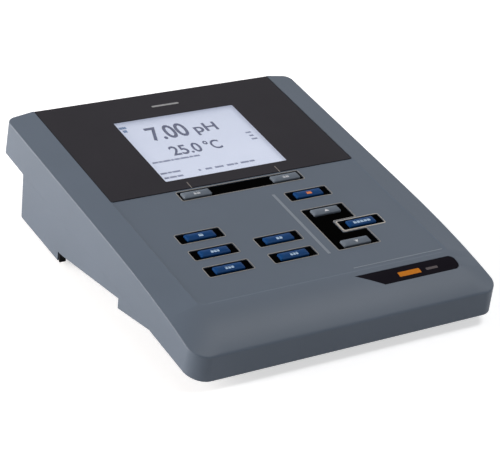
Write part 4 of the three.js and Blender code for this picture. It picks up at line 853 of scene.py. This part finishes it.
def lit_glass(name):
    """The lit face: pale lavender, a little darker to the rear, with the grid of the pixels."""
    material, nodes, links, shader, place = new_material(name)
    along = nodes.new("ShaderNodeSeparateXYZ")
    links.new(place, along.inputs["Vector"])
    share = nodes.new("ShaderNodeMapRange")
    share.inputs["From Min"].default_value = rear_top_y - WINDOW_FRONT
    share.inputs["From Max"].default_value = rear_top_y - WINDOW_REAR
    links.new(along.outputs["Y"], share.inputs["Value"])
    glow = two_tones(
        nodes, links, share.outputs["Result"], linear((202, 209, 230)), linear((194, 201, 222)), 0.2, 1.0
    )
    grid = nodes.new("ShaderNodeTexBrick")
    grid.offset = 0
    grid.inputs["Scale"].default_value = 1 / PIXEL_PITCH
    grid.inputs["Brick Width"].default_value = 0.5
    grid.inputs["Row Height"].default_value = 0.5
    grid.inputs["Mortar Size"].default_value = 0.04
    grid.inputs["Color1"].default_value = (1, 1, 1, 1)
    grid.inputs["Color2"].default_value = (0.98, 0.98, 0.98, 1)
    grid.inputs["Mortar"].default_value = (0.86, 0.87, 0.89, 1)
    links.new(place, grid.inputs["Vector"])
    both = nodes.new("ShaderNodeMix")
    both.data_type = "RGBA"
    both.blend_type = "MULTIPLY"
    both.inputs["Factor"].default_value = 1.0
    links.new(glow, both.inputs["A"])
    links.new(grid.outputs["Color"], both.inputs["B"])
    links.new(both.outputs["Result"], shader.inputs["Emission Color"])
    shader.inputs["Emission Strength"].default_value = 0.79
    shader.inputs["Base Color"].default_value = linear((126, 130, 140))
    spread(nodes, links, shader, noise(nodes, links, place, 3 * MM), 0.3, 0.4)
    return material


def frosted_sheet(name):
    """The light guide behind the cell: milky acrylic."""
    material, nodes, links, shader, place = new_material(name)
    cloud = noise(nodes, links, place, 4 * MM)
    links.new(
        two_tones(nodes, links, cloud, linear((214, 218, 228)), linear((236, 238, 244))),
        shader.inputs["Base Color"],
    )
    spread(nodes, links, shader, cloud, 0.45, 0.6)
    return material


machined("display_backlight", "display_light_guide", frosted_sheet("light_guide"), edge=0.2)
cell = finished(
    "display_cell_glass",
    block(-CELL_HALF, CELL_HALF, -CELL_FRONT, -CELL_REAR, -CELL_BACK, -CELL_TOP),
    lit_glass("lit_display"),
    place=ON_SLOPE,
)
lit_face = block(
    -WINDOW_HALF - FACE_BORDER,
    WINDOW_HALF + FACE_BORDER,
    -WINDOW_FRONT - FACE_BORDER,
    -WINDOW_REAR + FACE_BORDER,
    -FACE_ROOT,
    -GLASS_TOP,
)
carve(cell, [lit_face], "UNION")
shaded(cell)
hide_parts("display_cell")

PRINT_LOW = 0.01 * MM
PRINT_HIGH = 0.04 * MM
STROKE_GAIN = 0.018
lcd_dark = lacquer("lcd_figures", (66, 74, 116), 0.5, 0.1)
lcd_blue = lacquer("lcd_sign", (104, 140, 190), 0.5)
lcd_faint = lacquer("lcd_small_rows", (138, 146, 178), 0.5, 0.1)


def figures(name, text, left, base, height, width):
    """Figures of a given height and width on the lit face, from a left end and a base line."""
    curve = bpy.data.curves.new(name, "FONT")
    curve.body = text
    curve.offset = STROKE_GAIN
    drawn = bpy.data.objects.new(name, curve)
    bpy.context.scene.collection.objects.link(drawn)
    view = bpy.context.evaluated_depsgraph_get()
    mesh = bpy.data.meshes.new_from_object(drawn.evaluated_get(view))
    bpy.data.objects.remove(drawn)
    bpy.data.curves.remove(curve)
    form = bmesh.new()
    form.from_mesh(mesh)
    bpy.data.meshes.remove(mesh)
    lowest = Vector([min(v.co[a] for v in form.verts) for a in range(2)])
    highest = Vector([max(v.co[a] for v in form.verts) for a in range(2)])
    for vert in form.verts:
        vert.co.x = left + (vert.co.x - lowest.x) / (highest.x - lowest.x) * width
        vert.co.y = base + (vert.co.y - lowest.y) / (highest.y - lowest.y) * height
        vert.co.z = -GLASS_TOP + PRINT_LOW
    raised = bmesh.ops.extrude_face_region(form, geom=list(form.faces))["geom"]
    for vert in raised:
        if isinstance(vert, bmesh.types.BMVert):
            vert.co.z += PRINT_HIGH - PRINT_LOW
    finished(name, form, lcd_dark, place=ON_SLOPE, crease=20)


figures("reading_figures", "7.00", -24 * MM, -45.5 * MM, 14 * MM, 25 * MM)
figures("reading_unit", "pH", 5 * MM, -47 * MM, 11.5 * MM, 15 * MM)
figures("temperature_figures", "25.0", -20 * MM, -62.5 * MM, 9.5 * MM, 19.5 * MM)
figures("temperature_unit", "°C", 2.5 * MM, -62.5 * MM, 9.5 * MM, 10 * MM)


def printed(outline, seat):
    """A thin flat print of an outline on a face."""
    return prism(outline, seat + PRINT_LOW, seat + PRINT_HIGH)


def stroke(left, right, front, rear, seat):
    """A straight print between two sides and two ends, in millimetres."""
    corners = [(left, front), (right, front), (right, rear), (left, rear)]
    return printed([(u * MM, v * MM) for u, v in corners], seat)


def dashes(name, rows, material, seat=-GLASS_TOP):
    """Rows of short strokes, in millimetres: each row is the place of its left end, a height and
    the lengths of its strokes, where a length below nought is a blank."""
    strokes = []
    for left, v, height, lengths in rows:
        for length in lengths:
            if length > 0:
                strokes.append(stroke(left, left + length, v - height / 2, v + height / 2, seat))
            left += abs(length) + 0.5
    finished(name, gathered(strokes), material, place=ON_SLOPE, crease=20)


dashes("status_sign", [(-37.5, -28, 2.2, [4.5]), (-36.6, -31.5, 2.6, [2.6])], lcd_blue)
dashes(
    "small_rows",
    [
        (-36, -65.8, 1.5, [3.5, 2.2, 4.8, 1.6, 3.4, 5.2, 2.4, 3.8]),
        (-37, -77, 1.5, [4.2, 2.4, 5.0]),
        (-37, -81.5, 1.5, [3.0, 4.4, 3.6]),
        (-14, -79.5, 1.6, [1.4, -2.0, 4.2, -1.0, 5.6, -1.2, 4.6, 2.0, -1.0, 5.4, 3.2]),
        (33, -52, 1.4, [3.6]),
        (33.5, -55.5, 1.4, [2.8]),
        (33, -59, 1.4, [3.8]),
    ],
    lcd_faint,
)

# Display window: a clear cast-acrylic pane, held under the thin lip of the panel's opening with
# its underside on the cell.


def clear_acrylic(name):
    """A clear pane with a slight uneven haze."""
    material, nodes, links, shader, place = new_material(name)
    haze = noise(nodes, links, place, 15 * MM)
    links.new(
        two_tones(nodes, links, haze, linear((216, 222, 232)), linear((232, 236, 244))),
        shader.inputs["Base Color"],
    )
    shader.inputs["Alpha"].default_value = 0.1
    shader.inputs["IOR"].default_value = 1.49
    spread(nodes, links, shader, haze, 0.06, 0.14)
    return material


machined("display_window", "display_window_pane", clear_acrylic("clear_acrylic"), edge=0.15)

# Display panel: a dark satin plate flush in the top and bent down over the rear edge, moulded
# and then lacquered, with a printed leader line down to each function key.

PANEL_GAP = 0.2 * MM
PANEL_THICK = 1.6 * MM
PANEL_BEND = 0.7 * MM
PANEL_BEND_STEPS = 6
PANEL_ROUND = 0.15 * MM
WINDOW_CORNER = 0.8 * MM
WINDOW_LIP = 0.4 * MM
WINDOW_LAP = 3.3 * MM
panel_plastic = moulded_plastic("panel_lacquer", (50, 48, 53), (45, 43, 48), 0.42, 0.35, 0.012, 45, 0.04)
front_end = -PANEL_DEPTH + SEAT
inner = -PANEL_GAP - PANEL_THICK
profile = [(front_end, -PANEL_GAP)]
centre = -PANEL_GAP - PANEL_BEND
for step in range(PANEL_BEND_STEPS + 1):
    angle = math.radians(90 - 90 * step / PANEL_BEND_STEPS)
    profile.append((centre + PANEL_BEND * math.cos(angle), centre + PANEL_BEND * math.sin(angle)))
profile += [(-PANEL_GAP, -PANEL_WRAP + SEAT), (inner, -PANEL_WRAP + SEAT), (inner, inner)]
profile.append((front_end, inner))
panel_half = PANEL_HALF - SEAT
plate = stacked([[(u, v, h) for v, h in profile] for u in (-panel_half, panel_half)])
panel = finished("display_panel_plate", plate, panel_plastic, place=ON_SLOPE)
window_middle = -(WINDOW_REAR + WINDOW_FRONT) / 2
window_half_depth = (WINDOW_FRONT - WINDOW_REAR) / 2
window_hole = rounded_rectangle(WINDOW_HALF, window_half_depth, WINDOW_CORNER, 0, window_middle)
pane_seat = rounded_rectangle(
    WINDOW_HALF + WINDOW_LAP,
    window_half_depth + WINDOW_LAP,
    WINDOW_CORNER + WINDOW_LAP,
    0,
    window_middle,
)
carve(panel, [prism(window_hole, -PAST, PAST), prism(pane_seat, -PAST, -PANEL_GAP - WINDOW_LIP)])
rounding = panel.modifiers.new("rounded edges", "BEVEL")
rounding.width = PANEL_ROUND
rounding.segments = 2
rounding.limit_method = "ANGLE"
rounding.angle_limit = math.radians(40)
apply_modifiers(panel)
shaded(panel)
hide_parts("display_panel")

leader_ink = lacquer("leader_ink", (132, 124, 118))
panel_top = -PANEL_GAP
leaders = [(-28.6, -93.8, 6.0, [0.45]), (28.6, -93.8, 6.0, [0.45])]
dashes("leader_lines", leaders, leader_ink, panel_top)
bar_outline = rounded_rectangle(9 * MM, 0.8 * MM, 0.75 * MM, 0, -14 * MM)
bar_ink = lacquer("bar_ink", (150, 150, 152))
finished("panel_bar", printed(bar_outline, panel_top), bar_ink, place=ON_SLOPE)

# Field lines: a pale printed stripe that parts the measuring keys from the others, and a hairline
# over the badge.

line_ink = lacquer("line_ink", (122, 130, 141))
stripe = stroke(11.9, 13.7, -174, -115.5, field_top)
finished("field_stripe", stripe, line_ink, place=ON_SLOPE)
hairline = stroke(18, 77, -189.8, -189.2, field_top)
finished("field_hairline", hairline, line_ink, place=ON_SLOPE)

# Badge: a thin plate of black acrylic glued into its seat on the nose, following the roll of the
# top, with a plain orange bar and a short grey one.

NOSE_REACH = 20 * MM
BAR_ROOT = 0.05 * MM
badge_acrylic = moulded_plastic("badge_acrylic", (27, 24, 31), (23, 20, 27), 0.3, 0.5, 0.006, 30, 0.01)
badge_orange = lacquer("badge_orange", (216, 128, 18), gloss=0.1)
badge_grey = lacquer("badge_grey", (98, 90, 92), gloss=0.1)


def on_nose(name, outline, low, high, material):
    """An outline raised between two heights over the rolled top, so that it follows the nose."""
    piece = finished(name, prism(outline, -NOSE_REACH, PAST), material, place=ON_SLOPE)
    carve(piece, [slab_form(lowered=-high)], "INTERSECT")
    carve(piece, [slab_form(lowered=-low)])
    shaded(piece)
    return piece


badge = on_nose("badge_plate_acrylic", badge_outline(), -BADGE_THICK, 0.0, badge_acrylic)
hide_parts("badge_plate")
orange_bar = rounded_rectangle(7 * MM, 1.6 * MM, 0.4 * MM, 45.8 * MM, -202 * MM)
on_nose("badge_orange_bar", orange_bar, -BAR_ROOT, PRINT_HIGH, badge_orange)
grey_bar = rounded_rectangle(3.8 * MM, 0.8 * MM, 0.3 * MM, 60.4 * MM, -202.2 * MM)
on_nose("badge_grey_bar", grey_bar, -BAR_ROOT, PRINT_HIGH, badge_grey)

# Housing screws: four zinc-plated steel screws, driven up through the lower shell into bosses of
# the upper one.

for number in range(1, 5):
    machined(f"housing_screw_{number}", f"housing_screw_{number}_steel", zinc, edge=0.2)

# Floor, lamps and camera: a pale sheet of paper under soft studio lamps, the strongest on the
# left, and the photograph's view.

scene = bpy.context.scene
scene.view_settings.view_transform = "Standard"
REACH = 6.0
FLOOR_LEVEL = -0.2 * MM
floor_form = bmesh.new()
corners = [(-REACH, -REACH), (REACH, -REACH), (REACH, REACH), (-REACH, REACH)]
floor_form.faces.new([floor_form.verts.new((x, y, FLOOR_LEVEL)) for x, y in corners])
floor_mesh = bpy.data.meshes.new("floor")
floor_form.to_mesh(floor_mesh)
floor_form.free()
floor = bpy.data.objects.new("floor", floor_mesh)
scene.collection.objects.link(floor)
paper, nodes, links, shader, place = new_material("floor_paper")
fibre = noise(nodes, links, place, 4 * MM)
paper_tones = two_tones(nodes, links, fibre, (0.72, 0.72, 0.73, 1), (0.76, 0.76, 0.77, 1))
links.new(paper_tones, shader.inputs["Base Color"])
shader.inputs["Roughness"].default_value = 0.9
shader.inputs["Specular IOR Level"].default_value = 0.1
shader.inputs["Emission Color"].default_value = (1, 1, 1, 1)


def seen_rays(nodes, links):
    """One for a ray from the camera, or a mirrored or refracted one, and nought for the others."""
    path = nodes.new("ShaderNodeLightPath")
    first = nodes.new("ShaderNodeMath")
    first.operation = "MAXIMUM"
    links.new(path.outputs["Is Camera Ray"], first.inputs[0])
    links.new(path.outputs["Is Glossy Ray"], first.inputs[1])
    both = nodes.new("ShaderNodeMath")
    both.operation = "MAXIMUM"
    links.new(first.outputs[0], both.inputs[0])
    links.new(path.outputs["Is Transmission Ray"], both.inputs[1])
    return both.outputs[0]


lift = nodes.new("ShaderNodeMath")
lift.operation = "MULTIPLY"
lift.inputs[1].default_value = 0.6
links.new(seen_rays(nodes, links), lift.inputs[0])
links.new(lift.outputs[0], shader.inputs["Emission Strength"])
floor_mesh.materials.append(paper)

world = bpy.data.worlds.new("studio")
scene.world = world
world.use_nodes = True
nodes, links = world.node_tree.nodes, world.node_tree.links
background = nodes["Background"]
background.inputs["Color"].default_value = (0.97, 0.985, 1, 1)
strength = nodes.new("ShaderNodeMapRange")
strength.inputs["To Min"].default_value = 0.155
strength.inputs["To Max"].default_value = 1.0
links.new(seen_rays(nodes, links), strength.inputs["Value"])
links.new(strength.outputs["Result"], background.inputs["Strength"])


def lamp(name, place, target, size, power, tint=(1, 1, 1)):
    """A soft box, as wide and high as its size says."""
    data = bpy.data.lights.new(name, "AREA")
    data.shape = "RECTANGLE"
    data.size, data.size_y = size
    data.energy = power
    data.color = tint
    piece = bpy.data.objects.new(name, data)
    scene.collection.objects.link(piece)
    piece.location = place
    piece.rotation_euler = (Vector(target) - Vector(place)).to_track_quat("-Z", "Y").to_euler()


lamp("left_lamp", (-0.95, 0.64, 0.3), (0, 0.02, 0.03), (1.9, 0.56), 30, (1, 0.94, 0.88))
lamp("top_lamp", (0.92, -0.32, 1.8), (0, -0.1, 0.03), (0.8, 0.8), 18)

camera_data = bpy.data.cameras.new("photograph_view")
camera_data.sensor_width = 36
camera_data.lens = 136.85
camera = bpy.data.objects.new("photograph_view", camera_data)
scene.collection.objects.link(camera)
camera.location = (-0.52711, -0.78004, 0.49595)
camera.rotation_euler = tuple(math.radians(a) for a in (63.2740, -5.1180, -31.6809))
scene.camera = camera
